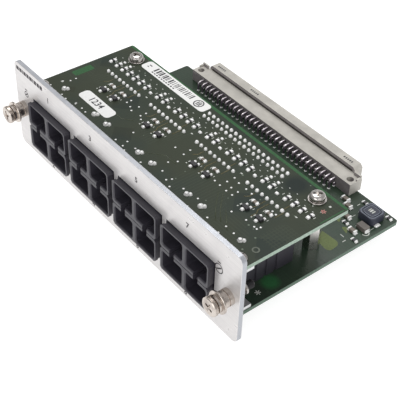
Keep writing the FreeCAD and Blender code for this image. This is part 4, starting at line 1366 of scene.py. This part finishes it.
@dataclass
class Brackets(Assembly):
    """Bent brackets with their screws, studs and nuts."""

    title: ClassVar[str] = "brackets"
    softened: ClassVar[Sequence[tuple[str, str, Finish, float]]] = (
        ("panel_bracket_left", "bracket_left_bent", SHEET_ZINC, 0.12),
        ("panel_bracket_right", "bracket_right_bent", SHEET_ZINC, 0.12),
        *((node, node + "_finished", ZINC, 0.1)
          for node in ("bracket_screws", "bracket_studs", "bracket_nuts", "standoff_washers")),
    )


@dataclass
class Modules(Assembly):
    """Duplex fibre modules with their port inserts."""

    title: ClassVar[str] = "modules"
    softness: float = 0.14
    insert_softness: float = 0.06

    def build(self) -> list[Piece]:
        """Round off the housings and the inserts.

        Returns:
            The housings and inserts.
        """
        made = []
        for node in (f"{row}_module_{number}" for row in ("upper", "lower")
                     for number in range(1, 5)):
            made += [rounded(node, node + "_moulding", MODULE, self.softness),
                     rounded(node + "_port_inserts", node + "_inserts", INSERT,
                             self.insert_softness)]
        return made


@dataclass
class Boards(Assembly):
    """The two printed boards, with the light patches and rings printed on them."""

    title: ClassVar[str] = "boards"
    dressed: ClassVar[dict[str, Finish]] = {"upper_board": UPPER_MASK,
                                            "lower_board": LOWER_MASK}

    rear_strip: Point = (0.75, -0.4, 1.3)  # from the edge, against the board's length, width
    green_patches: Sequence[Bar] = ((-58.7, 23.1, 3.4, 8.8), (61.5, 42.0, 0.5, 11.0))
    open_patches: Sequence[tuple[float, Sequence[Spot]]] = (  # corner rounding, corners
        (2.3, ((47.9, 51.9), (58.2, 52.7), (58.8, 46.2), (52.4, 47.0))),
        (0.8, ((46.2, 60.4), (47.5, 63.7), (50.1, 60.1))),
        (0.8, ((52.1, 58.9), (53.6, 60.8), (56.0, 57.9))),
    )
    wide_runs: Sequence[Sequence[Spot]] = (  # beside each column of modules
        ((0.5, 29.4), (0.5, 24.6), (-0.3, 23.4), (-0.3, 20.6)),
        ((2.3, 29.4), (2.3, 24.6), (3.3, 23.2), (3.3, 20.6)),
        ((-4.6, 29.2), (-4.6, 26.6), (-5.8, 25.2)),
        ((7.2, 34.4), (7.2, 31.6), (8.6, 30.2), (8.6, 26.4)),
    )
    faint_runs: Sequence[Sequence[Spot]] = (
        ((29.2, 20.0), (35.0, 14.0), (40.0, 10.0)), ((38.0, 16.0), (46.0, 10.0)),
        ((31.0, 20.4), (37.0, 14.4), (41.6, 10.9)),
        ((-36.0, 12.6), (-31.0, 17.0), (-24.0, 17.0), (-20.0, 20.0)),
        ((-3.0, 12.0), (3.0, 17.2), (9.0, 17.2)),
    )
    via_places: Sequence[Spot] = (
        (-31.0, 26.5), (-31.0, 24.5), (-28.0, 23.9), (-26.0, 26.5), (-25.8, 22.9), (-21.1, 26.2),
        (-21.1, 23.7), (-19.2, 22.5), (1.5, 22.7), (6.4, 22.7), (5.9, 26.0), (24.1, 22.5),
        (27.0, 22.4), (27.0, 25.6), (27.0, 28.9), (30.0, 28.3), (30.3, 24.7), (30.5, 22.3),
        (33.4, 25.0), (33.4, 22.5), (33.9, 28.3), (36.9, 28.2), (47.7, 28.0), (49.6, 27.8),
        (51.3, 19.7), (49.8, 18.2), (51.1, 18.2), (9.3, 11.2), (14.8, 11.2), (21.1, 11.3),
        (28.0, 12.1), (44.2, 11.0), (48.2, 10.9), (-11.3, 10.9), (-6.4, 10.9), (-41.8, 8.9),
        (-37.8, 8.9), (-14.7, 8.2), (-10.3, 8.2), (-55.5, 17.7), (-55.5, 15.2), (-57.0, 12.7),
    )
    via: Point = (0.36, 0.1, 0.05)  # radius, hole and height
    front_vias: Point = (-57.5, 3.9, 1.2)  # first X, pitch and scatter
    front_band: Spot = (5.2, 9.4)
    open_band: Spot = (12.5, 19.5)
    sticker: Bar = (-46.5, -28.0, 10.5, 19.5)  # no drawn via within these X and Y
    post_clearance: float = 2.2  # nor this near to a post
    run_height: float = 0.03
    wide_run: float = 0.42
    faint_run: float = 0.36
    large_ring: Point = (1.35, 0.85, 0.05)
    large_ring_place: Spot = (58.3, 11.6)
    red_mark: Sequence[Spot] = ((57.9, 41.5), (2.0, 0.34))  # place, and size of a stroke
    lower_star: Sequence[Spot] = ((58.6, 14.0), (2.2, 0.3))
    lower_arc: Spot = (59.6, 63.6)
    stage_marks: Sequence[Bar] = ((-2.2, 26.1, 0.22, 1.5), (-2.5, 22.0, 0.5, 0.9),
                                  (-2.5, 20.6, 0.5, 0.5), (2.1, 23.6, 0.22, 0.8))
    column_marks: Sequence[Bar] = ((-7.4, 30.6, 0.6, 0.9), (12.6, 32.4, 0.9, 0.5))
    row_marks: Sequence[Bar] = ((1.35, 36.9, 0.24, 1.1), (-1.3, 38.6, 0.7, 0.24),
                                (0.4, 40.6, 0.5, 0.3))
    lone_marks: Sequence[Bar] = ((57.5, 45.0, 0.8, 0.8), (-57.0, 12.2, 1.2, 0.3))
    lower_marks: Sequence[Bar] = (
        (50.6, 66.6, 0.2, 2.2), (44.9, 61.6, 2.4, 0.2), (59.6, 66.5, 0.2, 3.0),
        (55.6, 56.0, 1.8, 0.3), (47.4, 72.6, 0.3, 1.4), (58.0, 54.6, 0.3, 1.6),
    )

    def build(self) -> list[Piece]:
        """Dress the boards and add what is raised on them.

        Returns:
            What is raised on them.
        """
        upper, floor = Extent.of("upper_board"), face_of("lower")
        top = upper.high.z
        from_edge, length, width = self.rear_strip
        strips = [(0, upper.high.y - from_edge, upper.size.x + length, width),
                  *self.green_patches]
        patches = [plate(points, floor, corner) for corner, points in self.open_patches]
        runs = [[(x + across, y) for across, y in run]
                for x in module_centres() for run in self.wide_runs]
        marks = [
            *self.shifted(self.row_marks, ROW_PLACES), *self.lone_marks,
            *self.shifted(self.column_marks, module_centres()),
            *self.shifted(self.stage_marks, stage_places()),
        ]
        large = place(ring("upper_ring", *self.large_ring, 24), at(*self.large_ring_place, top))
        return [
            *super().build(),
            settle(bars("upper_green_strips", strips, top + LAYER / 2), GREEN),
            settle(joined(patches, "lower_light_patches"), BARE),
            settle(ribbons("upper_traces", runs, self.wide_run, self.run_height, top), OCHRE),
            settle(ribbons("upper_pale_traces", self.faint_runs, self.faint_run,
                           self.run_height, top), PALE_TRACE),
            settle(copies(ring("via", *self.via, 10), [at(x, y, top) for x, y in self.vias()],
                          "upper_vias"), SOLDER),
            settle(large, DIM),
            settle(self.star("upper_red_mark", self.red_mark, top), RED_INK),
            settle(bars("upper_silk", marks, top + LAYER / 2), SILK),
            self.silk_lower(),
        ]

    def vias(self) -> list[Spot]:
        """Places of the small plated holes, some fixed and some drawn.

        Returns:
            X and Y of each.
        """
        draw = random.Random(SEED)
        start, pitch, spread = self.front_vias
        spots = [(start + pitch * step + draw.uniform(-spread, spread),
                  draw.uniform(*self.front_band)) for step in range(30)]
        spots += [(draw.uniform(-56.0, 56.0), draw.uniform(*self.open_band)) for _ in range(26)]
        left, right, front, rear = self.sticker
        posts = [x for x, _ in SolderJoints().posts()]
        return [*self.via_places, *(
            (x, y) for x, y in spots if not (left < x < right and front < y < rear)
            and min(abs(x - post) for post in posts) > self.post_clearance)]

    @staticmethod
    def shifted(rows: Sequence[Bar], places: Iterable[float]) -> list[Bar]:
        """The same bars beside each X."""
        return [(x + across, *rest) for x in places for across, *rest in rows]

    @staticmethod
    def star(name: str, shape: Sequence[Spot], level: float) -> Piece:
        """Printed star of three strokes.

        Args:
            name: Name of the piece.
            shape: Its middle, and the length and width of a stroke.
            level: Height that it lies on.

        Returns:
            The star.
        """
        middle, stroke = shape
        return joined([place(block("stroke", (0, 0, LAYER / 2), (*stroke, LAYER)),
                             at(*middle, level, turn)) for turn in (0, 60, 120)], name)

    def silk_lower(self) -> Piece:
        """White marks on the lower board's open corner.

        Returns:
            The marks.
        """
        level = face_of("lower")
        arc = place(ring("arc", 1.5, 1.15, LAYER), at(*self.lower_arc, level))
        with editing(arc):
            bpy.ops.mesh.bisect(plane_co=(self.lower_arc[0] - 0.2, self.lower_arc[1], level),
                                plane_no=(1, 0, 0), use_fill=True, clear_inner=True)
        made = [bars("lower_silk", self.lower_marks, level + LAYER / 2),
                self.star("star", self.lower_star, level), arc]
        return settle(joined(made, "lower_silk"), SILK)


@dataclass
class SolderJoints(Assembly):
    """Solder on every lead that comes through the boards."""

    title: ClassVar[str] = "solder joints"
    sides: int = 10
    pitch: float = 2.54
    pin_row: float = 30.6
    post_row: float = 10.28
    post_offset: float = 10.16
    header_start: float = -6.91
    header_rows: Spot = (42.48, 45.02)
    lead_centre: float = -5.4
    lead_rows: Spot = (70.2, 72.74)
    pin_joint: Sequence[Spot] = ((0.74, 0.0), (0.73, 0.22), (0.66, 0.52), (0.52, 0.8),
                                 (0.3, 0.98), (0.0, 1.04))
    post_joint: Sequence[Spot] = ((1.1, 0.0), (1.08, 0.35), (0.9, 0.8), (0.5, 1.08), (0.0, 1.16))
    collar: Sequence[Spot] = ((0.6, 0.0), (0.56, 0.1), (0.45, 0.24), (0.3, 0.34))

    def posts(self) -> list[Spot]:
        """Places of the modules' posts."""
        return [(x + side * self.post_offset, self.post_row)
                for x in module_centres() for side in SIDES]

    def build(self) -> list[Piece]:
        """Solder both boards, each from its outer side.

        Returns:
            The rows of joints.
        """
        pins = [(x + self.pitch * step, self.pin_row)
                for x in module_centres() for step in range(-4, 5)]
        posts = self.posts()
        lobes = [(x + 0.9, y + 0.9) for x, y in posts]
        header = [(self.header_start + self.pitch * column, y)
                  for column in range(18) for y in self.header_rows]
        leads = [(self.lead_centre + self.pitch * (column - 15.5), y)
                 for column in range(32) for y in self.lead_rows]
        pin, post = self.pin_joint, self.post_joint
        upper, lower = Extent.of("upper_board"), Extent.of("lower_board")
        return [self.joints(*row) for row in (
            ("upper_pin_solder", pin, pins, upper.high.z, 0.96),
            ("upper_post_solder", post, posts, upper.high.z, 1.0),
            ("upper_post_lobes", pin, lobes, upper.high.z, 1.1),
            ("upper_header_solder", pin, header, upper.high.z, 0.94),
            ("lower_pin_solder", pin, pins, lower.low.z, 1.0, True),
            ("lower_post_solder", post, posts, lower.low.z, 1.0, True),
            ("lower_header_solder", pin, header, lower.low.z, 0.92, True),
            ("rear_lead_solder", pin, leads, lower.low.z, 0.92, True),
            ("rear_lead_collars", self.collar, leads, lower.high.z, 1.0),
        )]

    def joints(self, name: str, profile: Sequence[Spot], spots: Sequence[Spot], level: float,
               share: float, hangs: bool = False) -> Piece:
        """One row of joints, each a little different in size.

        Args:
            name: Name of the piece.
            profile: Rings of one joint.
            spots: Places of the joints.
            level: Height of the board's face.
            share: Overall size against the profile.
            hangs: Whether the joints are on the board's underside.

        Returns:
            The row of joints.
        """
        draw = random.Random(SEED)
        places = []
        for x, y in spots:
            wide = share * draw.uniform(0.93, 1.07)
            high = draw.uniform(0.93, 1.0) * (-1 if hangs else 1)
            places.append(at(x, y, level, draw.uniform(0, 30), (wide, wide, high)))
        piece = copies(stacked("joint", profile, self.sides), places, name)
        if hangs:
            with editing(piece):
                bpy.ops.mesh.flip_normals()
        return settle(piece, SOLDER)


@dataclass(frozen=True)
class Chips:
    """Chip parts of one kind: places, size, and the pads under those that lie along X."""

    name: str
    places: Sequence[Spot]
    size: Point
    pad: Bar = (0.0, 0.0, 0.0, 0.0)  # reach from the middle, length, width and height

    def pads(self) -> list[Pad]:
        """Pads under both ends of each part."""
        reach, *shape = self.pad
        return [(x + side * reach, y, *shape) for x, y in self.places for side in SIDES]


@dataclass
class SmallParts(Assembly):
    """Chip parts on both boards, their terminals, pads and legs."""

    title: ClassVar[str] = "small parts"
    softened: ClassVar[Sequence[tuple[str, str, Finish, float]]] = (
        ("upper_chip_resistors", "network_resistors", RESISTOR, 0.08),
        *((node, node + "_body", finish, width) for node, finish, width in (
            ("upper_filter_capacitors", CERAMIC, 0.09), ("upper_transistors", EPOXY, 0.09),
            ("ceramic_capacitors", CERAMIC, 0.12), ("chip_resistors", RESISTOR, 0.08),
            ("tantalum_capacitors", TANTALUM, 0.16), ("inductor_shield", FERRITE, 0.2),
            ("inductor_core", FERRITE, 0.1), ("line_chips", EPOXY, 0.12),
            ("bus_driver_chips", EPOXY, 0.12),
        )),
    )
    dressed: ClassVar[dict[str, Finish]] = {"inductor_winding": WIRE}

    empty: Sequence[int] = (7, 10, 15, 18, 23, 26)  # places of the long row with no part
    tall: Sequence[int] = (1, 2, 8, 9, 16, 17, 24, 25)  # places with a pad more
    network_row: float = 36.2
    network_pads: Sequence[Bar] = ((37.3, 1.5, 1.15, 0.68), (35.1, 1.5, 1.15, 0.68),
                                   (39.2, 1.3, 1.0, 0.55))  # Y, length, width, height
    filter_row: float = 26.1
    transistor_row: float = 21.8
    feet: Sequence[Pad] = ((0.0, 20.35, 1.35, 1.3, 0.75), (-0.95, 23.25, 1.0, 1.1, 0.6),
                           (0.95, 23.25, 1.0, 1.1, 0.6))
    shin: Point = (0.45, 0.75, 0.16)
    inductor_pads: Sequence[Pad] = ((59.4, 69.8, 1.5, 2.6, 0.5), (50.8, 70.6, 1.5, 2.6, 0.5))
    corner_parts: Sequence[Chips] = (
        Chips("ceramic_ends", ((42.6, 70.6), (45.8, 68.6), (49.6, 64.2), (56.2, 60.4)),
              (3.2, 1.6, 1.2), (1.7, 0.9, 1.7, 0.6)),
        Chips("resistor_ends",
              ((48.3, 75.0), (46.8, 65.6), (51.6, 61.6), (60.0, 57.6), (59.4, 75.9)),
              (2.0, 1.25, 0.6), (1.15, 0.7, 1.35, 0.4)),
        Chips("tantalum_ends", ((57.5, 64.4), (44.6, 58.6)), (4.2, 2.2, 1.1),
              (2.25, 0.9, 2.3, 0.5)),
    )
    outlines: Sequence[Spot] = ((6.7, 0.22), (5.0, 0.16))  # side and line width
    strokes: Sequence[Spot] = ((-0.95, 0.35), (-0.1, 0.7), (0.9, 0.5))  # shift and width
    drivers: Sequence[Spot] = tuple((-42.0 + 17 * chip, 56.6) for chip in range(5))
    line_chips: Sequence[Spot] = ((-40.5, 42.5), (-23.0, 42.5))

    def build(self) -> list[Piece]:
        """Dress the parts and model what is soldered of them.

        Returns:
            All the small parts.
        """
        return [*super().build(), *self.network(), *self.stages(), *self.power(),
                *self.inductor_marks(), *self.chip_legs()]

    @staticmethod
    def pads(name: str, spots: Sequence[Pad], level: float) -> Piece:
        """Domed solder pads.

        Args:
            name: Name of the piece.
            spots: X, Y, length, width and height of each pad.
            level: Height of the board's face.

        Returns:
            The pads.
        """
        model = block("pad", (0, 0, 0.5), (1, 1, 1))
        with editing(model):
            choose(model, lambda centre, normal: normal.z > 0.9)
            resize((0.72, 0.72, 1), (0, 0, 1))
            everything()
            round_edges(0.12, 2)
        smooth(model, 60)
        draw = random.Random(SEED)
        places = [at(x, y, level, 0, (length, width, draw.uniform(0.85, 1.15) * high))
                  for x, y, length, width, high in spots]
        return settle(copies(model, places, name), SOLDER)

    @staticmethod
    def terminals(chips: Chips, level: float, along: int = 0) -> Piece:
        """Metal caps over both ends of each part.

        Args:
            chips: Parts of one kind.
            level: Height of the board's face.
            along: Axis that the parts lie along: 0 for X, 1 for Y.

        Returns:
            The caps.
        """
        run, height = chips.size[along], chips.size[2] + 0.06
        cap = max(0.32, run * 0.2)
        span = [chips.size[0] + 0.08, chips.size[1] + 0.08, height]
        span[along] = cap
        step = [0.0, 0.0]
        step[along] = run / 2 - cap / 2 + 0.05
        places = [at(x + side * step[0], y + side * step[1], level)
                  for x, y in chips.places for side in SIDES]
        model = block("cap", (0, 0, height / 2), span, 0.06)
        return settle(copies(model, places, chips.name), SOLDER)

    def network(self) -> list[Piece]:
        """Long row of resistors, with the bare pads of the empty places.

        Returns:
            Their caps and pads.
        """
        filled = [x for index, x in enumerate(ROW_PLACES) if index not in self.empty]
        extra = [ROW_PLACES[index] for index in self.tall]
        pads = [(x, *pad) for places, pad in zip((filled, ROW_PLACES, extra), self.network_pads)
                for x in places]
        row = Chips("network_caps", [(x, self.network_row) for x in filled], (1.25, 1.5, 0.6))
        return [self.terminals(row, face_of("upper"), along=1),
                self.pads("network_pads", pads, face_of("upper"))]

    def stages(self) -> list[Piece]:
        """Caps, pads and legs of each driver stage's two parts.

        Returns:
            The caps, pads and legs.
        """
        level = face_of("upper")
        filters = Chips("filter_caps", [(x, self.filter_row) for x in stage_places()],
                        (2.0, 1.25, 0.7), (1.15, 0.9, 1.4, 0.62))
        feet = [(x + across, *rest) for x in stage_places() for across, *rest in self.feet]
        shins = [at(x, y + math.copysign(0.35, self.transistor_row - y), level + 0.18)
                 for x, y, *_ in feet]
        leg = block("leg", (0, 0, 0.3), self.shin, 0.04)
        return [self.terminals(filters, level),
                self.pads("stage_pads", [*feet, *filters.pads()], level),
                settle(copies(leg, shins, "stage_legs"), TIN)]

    def power(self) -> list[Piece]:
        """Caps and pads at the lower board's open corner.

        Returns:
            The caps and pads.
        """
        level = face_of("lower")
        pads = [pad for chips in self.corner_parts for pad in chips.pads()]
        return [*(self.terminals(chips, level) for chips in self.corner_parts),
                self.pads("power_pads", [*pads, *self.inductor_pads], level)]

    def inductor_marks(self) -> list[Piece]:
        """Nested rounded outlines and plain strokes printed on the inductor.

        Returns:
            The outlines and the strokes.
        """
        shield, core = Extent.of("inductor_shield"), Extent.of("inductor_core")
        nested = []
        for side, width in self.outlines:
            outline = block("outline", (0, 0, LAYER / 2), (side, side, LAYER))
            with editing(outline):
                choose(outline, is_upright, edges=True)
                round_edges(side * 0.24, 6)
                choose(outline, lambda centre, normal: abs(normal.z) > 0.9)
                bpy.ops.mesh.inset(thickness=width)
                bpy.ops.mesh.bridge_edge_loops()
                face_out()
            nested.append(place(outline, at(shield.centre.x, shield.centre.y, shield.high.z)))
        rows = [(core.centre.x + shift, core.centre.y, width, 1.7)
                for shift, width in self.strokes]
        strokes = bars("inductor_strokes", rows, core.high.z + LAYER / 2)
        return [settle(joined(nested, "inductor_outline"), OUTLINE),
                settle(strokes, SILK)]

    def chip_legs(self) -> list[Piece]:
        """Gull-wing legs of the drivers and the line chips.

        Returns:
            Both kinds of legs.
        """
        level = face_of("lower")
        driver = [at(x + side * 3.72, y + 1.27 * (leg - 4.5), level, 0 if side > 0 else 180)
                  for x, y in self.drivers for side in SIDES for leg in range(10)]
        line = [at(x, y, level, turn) @ at(6.98, 0.8 * (leg - 7.5), 0, 0, (0.8, 0.75, 0.75))
                for x, y in self.line_chips for turn in (0, 90, 180, 270) for leg in range(16)]
        return [settle(copies(self.gull_wing(), places, name), TIN)
                for name, places in (("driver_legs", driver), ("line_chip_legs", line))]

    @staticmethod
    def gull_wing() -> Piece:
        """One leg: out from the package, down, and flat on the board.

        Returns:
            The leg.
        """
        leg = block("leg", (0.1, 0, 1.2), (0.2, 0.42, 0.16))
        with editing(leg):
            choose(leg, lambda centre, normal: normal.x > 0.9)
            for out, down in ((0.42, 0.0), (0.16, -0.2), (0.14, -0.62), (0.18, -0.26),
                              (0.5, -0.02)):
                draw_out((out, 0, down))
        return leg


@dataclass
class BoardConnector(Assembly):
    """Stacking connector and standoffs between the boards."""

    title: ClassVar[str] = "board connector"
    softened: ClassVar[Sequence[tuple[str, str, Finish, float]]] = tuple(
        (node, node + "_finished", finish, 0.12) for node, finish in (
            ("socket_body", HEADER), ("header_base", HEADER),
            ("rear_standoff_left", POST_NICKEL), ("rear_standoff_right", POST_NICKEL)))
    dressed: ClassVar[dict[str, Finish]] = {
        "header_pins": GOLD, "socket_leads": TIN, "upper_module_pins": TIN,
        "lower_module_pins": TIN}

    shank: float = 5.0
    head: float = 2.2
    head_radius: float = 2.75
    crown: Sequence[Spot] = ((2.75, 0.08), (2.75, 0.9), (2.66, 1.3), (2.45, 1.66), (2.1, 1.92),
                             (1.6, 2.08), (0.9, 2.17))
    recess: Point = (3.9, 0.95, 2.1)
    turns: Spot = (20, 52)

    def build(self) -> list[Piece]:
        """Round off the mouldings and the standoffs, and turn their screws.

        Returns:
            The connector's halves, the standoffs and the screws.
        """
        return [*super().build(), *(self.pan_screws(side) for side in ("upper", "lower"))]

    def pan_screws(self, side: str) -> Piece:
        """Pan-head screws at one end of the standoffs.

        Args:
            side: Upper or lower.

        Returns:
            Both screws of that side.
        """
        node = f"standoff_screws_{side}"
        extent = Extent.of(node)
        profile = [(0.0, -self.shank), (1.2, -self.shank), (1.5, 0.3 - self.shank), (1.5, 0.0),
                   (2.68, 0.0), *self.crown, (0.0, self.head)]
        screw = stacked("screw", profile, 36)
        sink_recess(screw, self.recess, self.head - 0.45)
        seat = extent.high.z - self.head
        if side == "lower":
            place(screw, turned("X", 180))
            seat = extent.low.z + self.head
        middles = (extent.low.x + self.head_radius, extent.high.x - self.head_radius)
        pair = copies(screw, [at(x, extent.centre.y, seat, turn)
                              for x, turn in zip(middles, self.turns)], node + "_turned")
        smooth(pair, 35)
        return settle(pair, ZINC, stands_for=[node])


@dataclass
class Labels(Assembly):
    """Two stickers with plain bars and figures."""

    title: ClassVar[str] = "labels"
    code: Spot = (-42.2, -18.4)  # where the bars start and end
    code_level: float = 46.3
    code_height: float = 2.9
    bar_widths: Sequence[float] = (0.3, 0.42, 0.6, 0.85)
    bar_gaps: Sequence[float] = (0.34, 0.5, 0.8)
    mark: Spot = (-14.4, 45.8)
    strokes: Sequence[Bar] = ((-15.1, 45.8, 0.5, 2.2), (-14.3, 45.8, 0.4, 2.6),
                              (-13.6, 45.8, 0.5, 2.2))
    figures: Spot = (-37.3, 14.95)

    def build(self) -> list[Piece]:
        """Round off the stickers and print on them.

        Returns:
            The stickers and their print.
        """
        films = [rounded(node, node + "_film", PAPER, 0.03, 1)
                 for node in ("long_label", "short_label")]
        long, short = (Extent.of(node).high.z for node in ("long_label", "short_label"))
        mark = [place(ring("mark", 2.2, 1.7, LAYER, 28), at(*self.mark, long)),
                bars("strokes", self.strokes, long + LAYER / 2)]
        figures = written("1234", 2.9, (*self.figures, short), Facing.UP, 0.07)
        figures.name = "short_label_figures"
        code = bars("long_label_bars", self.bar_code(), long + LAYER / 2)
        return [*films, settle(code, INK), settle(joined(mark, "long_label_mark"), INK),
                settle(figures, INK)]

    def bar_code(self) -> list[Bar]:
        """Upright bars of uneven widths along the long sticker, and short ones.

        Returns:
            Middle, width and height of each bar.
        """
        draw = random.Random(SEED)
        rows, left = [], self.code[0]
        while left < self.code[1]:
            width = draw.choice(self.bar_widths)
            rows.append((left + width / 2, self.code_level, width, self.code_height))
            left += width + draw.choice(self.bar_gaps)
        rows += [(-45.6, 46.4, 1.5, 0.5), (-45.9, 45.2, 0.9, 0.4)]
        return rows + [(-41.6 + 1.5 * step, 44.1, 0.9, 0.6) for step in range(10)]


@dataclass
class Backplane(Assembly):
    """Rear connector housing with plain print on its shroud."""

    title: ClassVar[str] = "backplane connector"
    softened: ClassVar[Sequence[tuple[str, str, Finish, float]]] = (
        ("backplane_housing", "backplane_moulding", CONNECTOR, 0.15),)
    dressed: ClassVar[dict[str, Finish]] = {
        "backplane_contacts_lower": LEAD, "backplane_contacts_upper": LEAD}

    mark_starts: Sequence[float] = (-45.0, -24.0, 30.0)
    mark_line: float = 81.2
    wall: Sequence[Point] = ((0, 79.62, 5.3), (83.4, 0.5, 1.5))  # middle and size
    hooks: Sequence[Sequence[Point]] = (((45.1, 78.85, 5.8), (3.6, 0.8, 1.5)),
                                        ((46.6, 77.6, 5.5), (0.7, 2.2, 0.9)))

    def build(self) -> list[Piece]:
        """Round off the housing, close its groove with a dark wall of painted shade and print on its top.

        Returns:
            The housing, its inner wall, its ears' hooks and its print.
        """
        housing = Extent.of("backplane_housing")
        base = Vector((housing.centre.x, 0, Extent.of("lower_board").high.z))
        # The groove's wall is dark: painted shade for the groove's depth.
        wall = block("backplane_partition", base + Vector(self.wall[0]), self.wall[1], 0.05)
        hooks = [block("hook", base + Vector((side * x, y, z)), size, 0.15)
                 for side in SIDES for (x, y, z), size in self.hooks]
        rows = [(start + step, self.mark_line, 0.6, 0.9)
                for start in self.mark_starts for step in range(5)]
        marks = bars("backplane_marks", rows, housing.high.z + LAYER / 2)
        return [*super().build(), settle(joined(hooks, "backplane_ear_walls"), CONNECTOR),
                settle(wall, SHADED), settle(marks, INK)]


# ---- Studio ------------------------------------------------------------------
@dataclass
class Studio:
    """Camera, floor and lamps."""

    camera_place: Point = (0.21748, -0.14393, 0.22345)
    ahead: Point = (-0.579, 0.4796, -0.6593)
    above: Point = (-0.5309, 0.3919, 0.7513)
    lens: float = 87.73
    aim: Point = (0, 0.035, 0)
    floor_size: float = 6.0
    floor_gap: float = 0.00002
    floor_glow: float = 0.82
    world_light: float = 0.5
    lamps: Sequence[tuple[str, Point, float, float]] = (  # name, place, size, power
        ("key", (-0.35, 0.25, 0.9), 0.6, 4.6),
        ("front", (0.35, -0.9, 0.4), 0.7, 3.2),
        ("side", (0.75, -0.1, 0.5), 0.6, 1.2),
    )

    def build(self) -> None:
        """Put up the floor, the world, the lamps and the camera."""
        self.floor()
        self.world()
        for name, spot, size, power in self.lamps:
            data = bpy.data.lights.new(name, "AREA")
            data.size, data.energy = size, power
            lamp = linked(name, data)
            lamp.location = spot
            aim = Vector(self.aim) - Vector(spot)
            lamp.rotation_euler = aim.to_track_quat("-Z", "Y").to_euler()
        self.camera()
        bpy.context.scene.view_settings.view_transform = "Standard"

    def floor(self) -> None:
        """Plain white floor that still takes a soft shadow."""
        take()
        bpy.ops.mesh.primitive_plane_add(size=self.floor_size,
                                         location=(0, 0, CAD_LOW.z - self.floor_gap))
        floor = bpy.context.object
        floor.name = "floor"
        sheet = Sheet("floor_white", (0.40, 0.40, 0.40))
        sheet.lay(sheet.noise(sheet.where, 3.0), (0.42, 0.42, 0.42))
        for name, value in (("Base Color", sheet.colour), ("Roughness", 0.9),
                            ("Emission Color", (1.0, 1.0, 1.0)),
                            ("Emission Strength", self.floor_glow)):
            sheet.put(name, value)
        floor.data.materials.append(sheet.material)

    def world(self) -> None:
        """Even white surroundings, full white where they are seen."""
        world = bpy.data.worlds.new("surroundings")
        bpy.context.scene.world = world
        world.use_nodes = True
        tree = world.node_tree
        tree.nodes.clear()
        output = tree.nodes.new("ShaderNodeOutputWorld")
        path = tree.nodes.new("ShaderNodeLightPath")
        blend = tree.nodes.new("ShaderNodeMixShader")
        tree.links.new(path.outputs["Is Camera Ray"], blend.inputs[0])
        for number, strength in ((1, self.world_light), (2, 1.0)):
            light = tree.nodes.new("ShaderNodeBackground")
            light.inputs["Color"].default_value = (1, 1, 1, 1)
            light.inputs["Strength"].default_value = strength
            tree.links.new(light.outputs[0], blend.inputs[number])
        tree.links.new(blend.outputs[0], output.inputs["Surface"])

    def camera(self) -> None:
        """Camera that looks down on the card from its front right."""
        data = bpy.data.cameras.new("camera")
        data.lens = self.lens
        data.sensor_width = 36.0
        data.clip_start = 0.01
        camera = linked("camera", data)
        ahead, above = Vector(self.ahead).normalized(), Vector(self.above).normalized()
        right = ahead.cross(above).normalized()
        turn = Matrix((right, right.cross(ahead), -ahead)).transposed().to_4x4()
        camera.matrix_world = Matrix.Translation(self.camera_place) @ turn
        bpy.context.scene.camera = camera


def main() -> None:
    """Build every sub-assembly in order, then the studio."""
    logging.basicConfig(level=logging.INFO, format="%(name)s: %(message)s")
    for assembly in (
        FrontPanel(), Brackets(), CaptiveScrew(),
        CaptiveScrew(side="right", body=Body.SCREW_RIGHT, lean=-24), Modules(), Boards(),
        BoardConnector(), SolderJoints(), SmallParts(), Labels(), Backplane(),
    ):
        assembly.report()
    Studio().build()


if __name__ == "__main__":
    main()
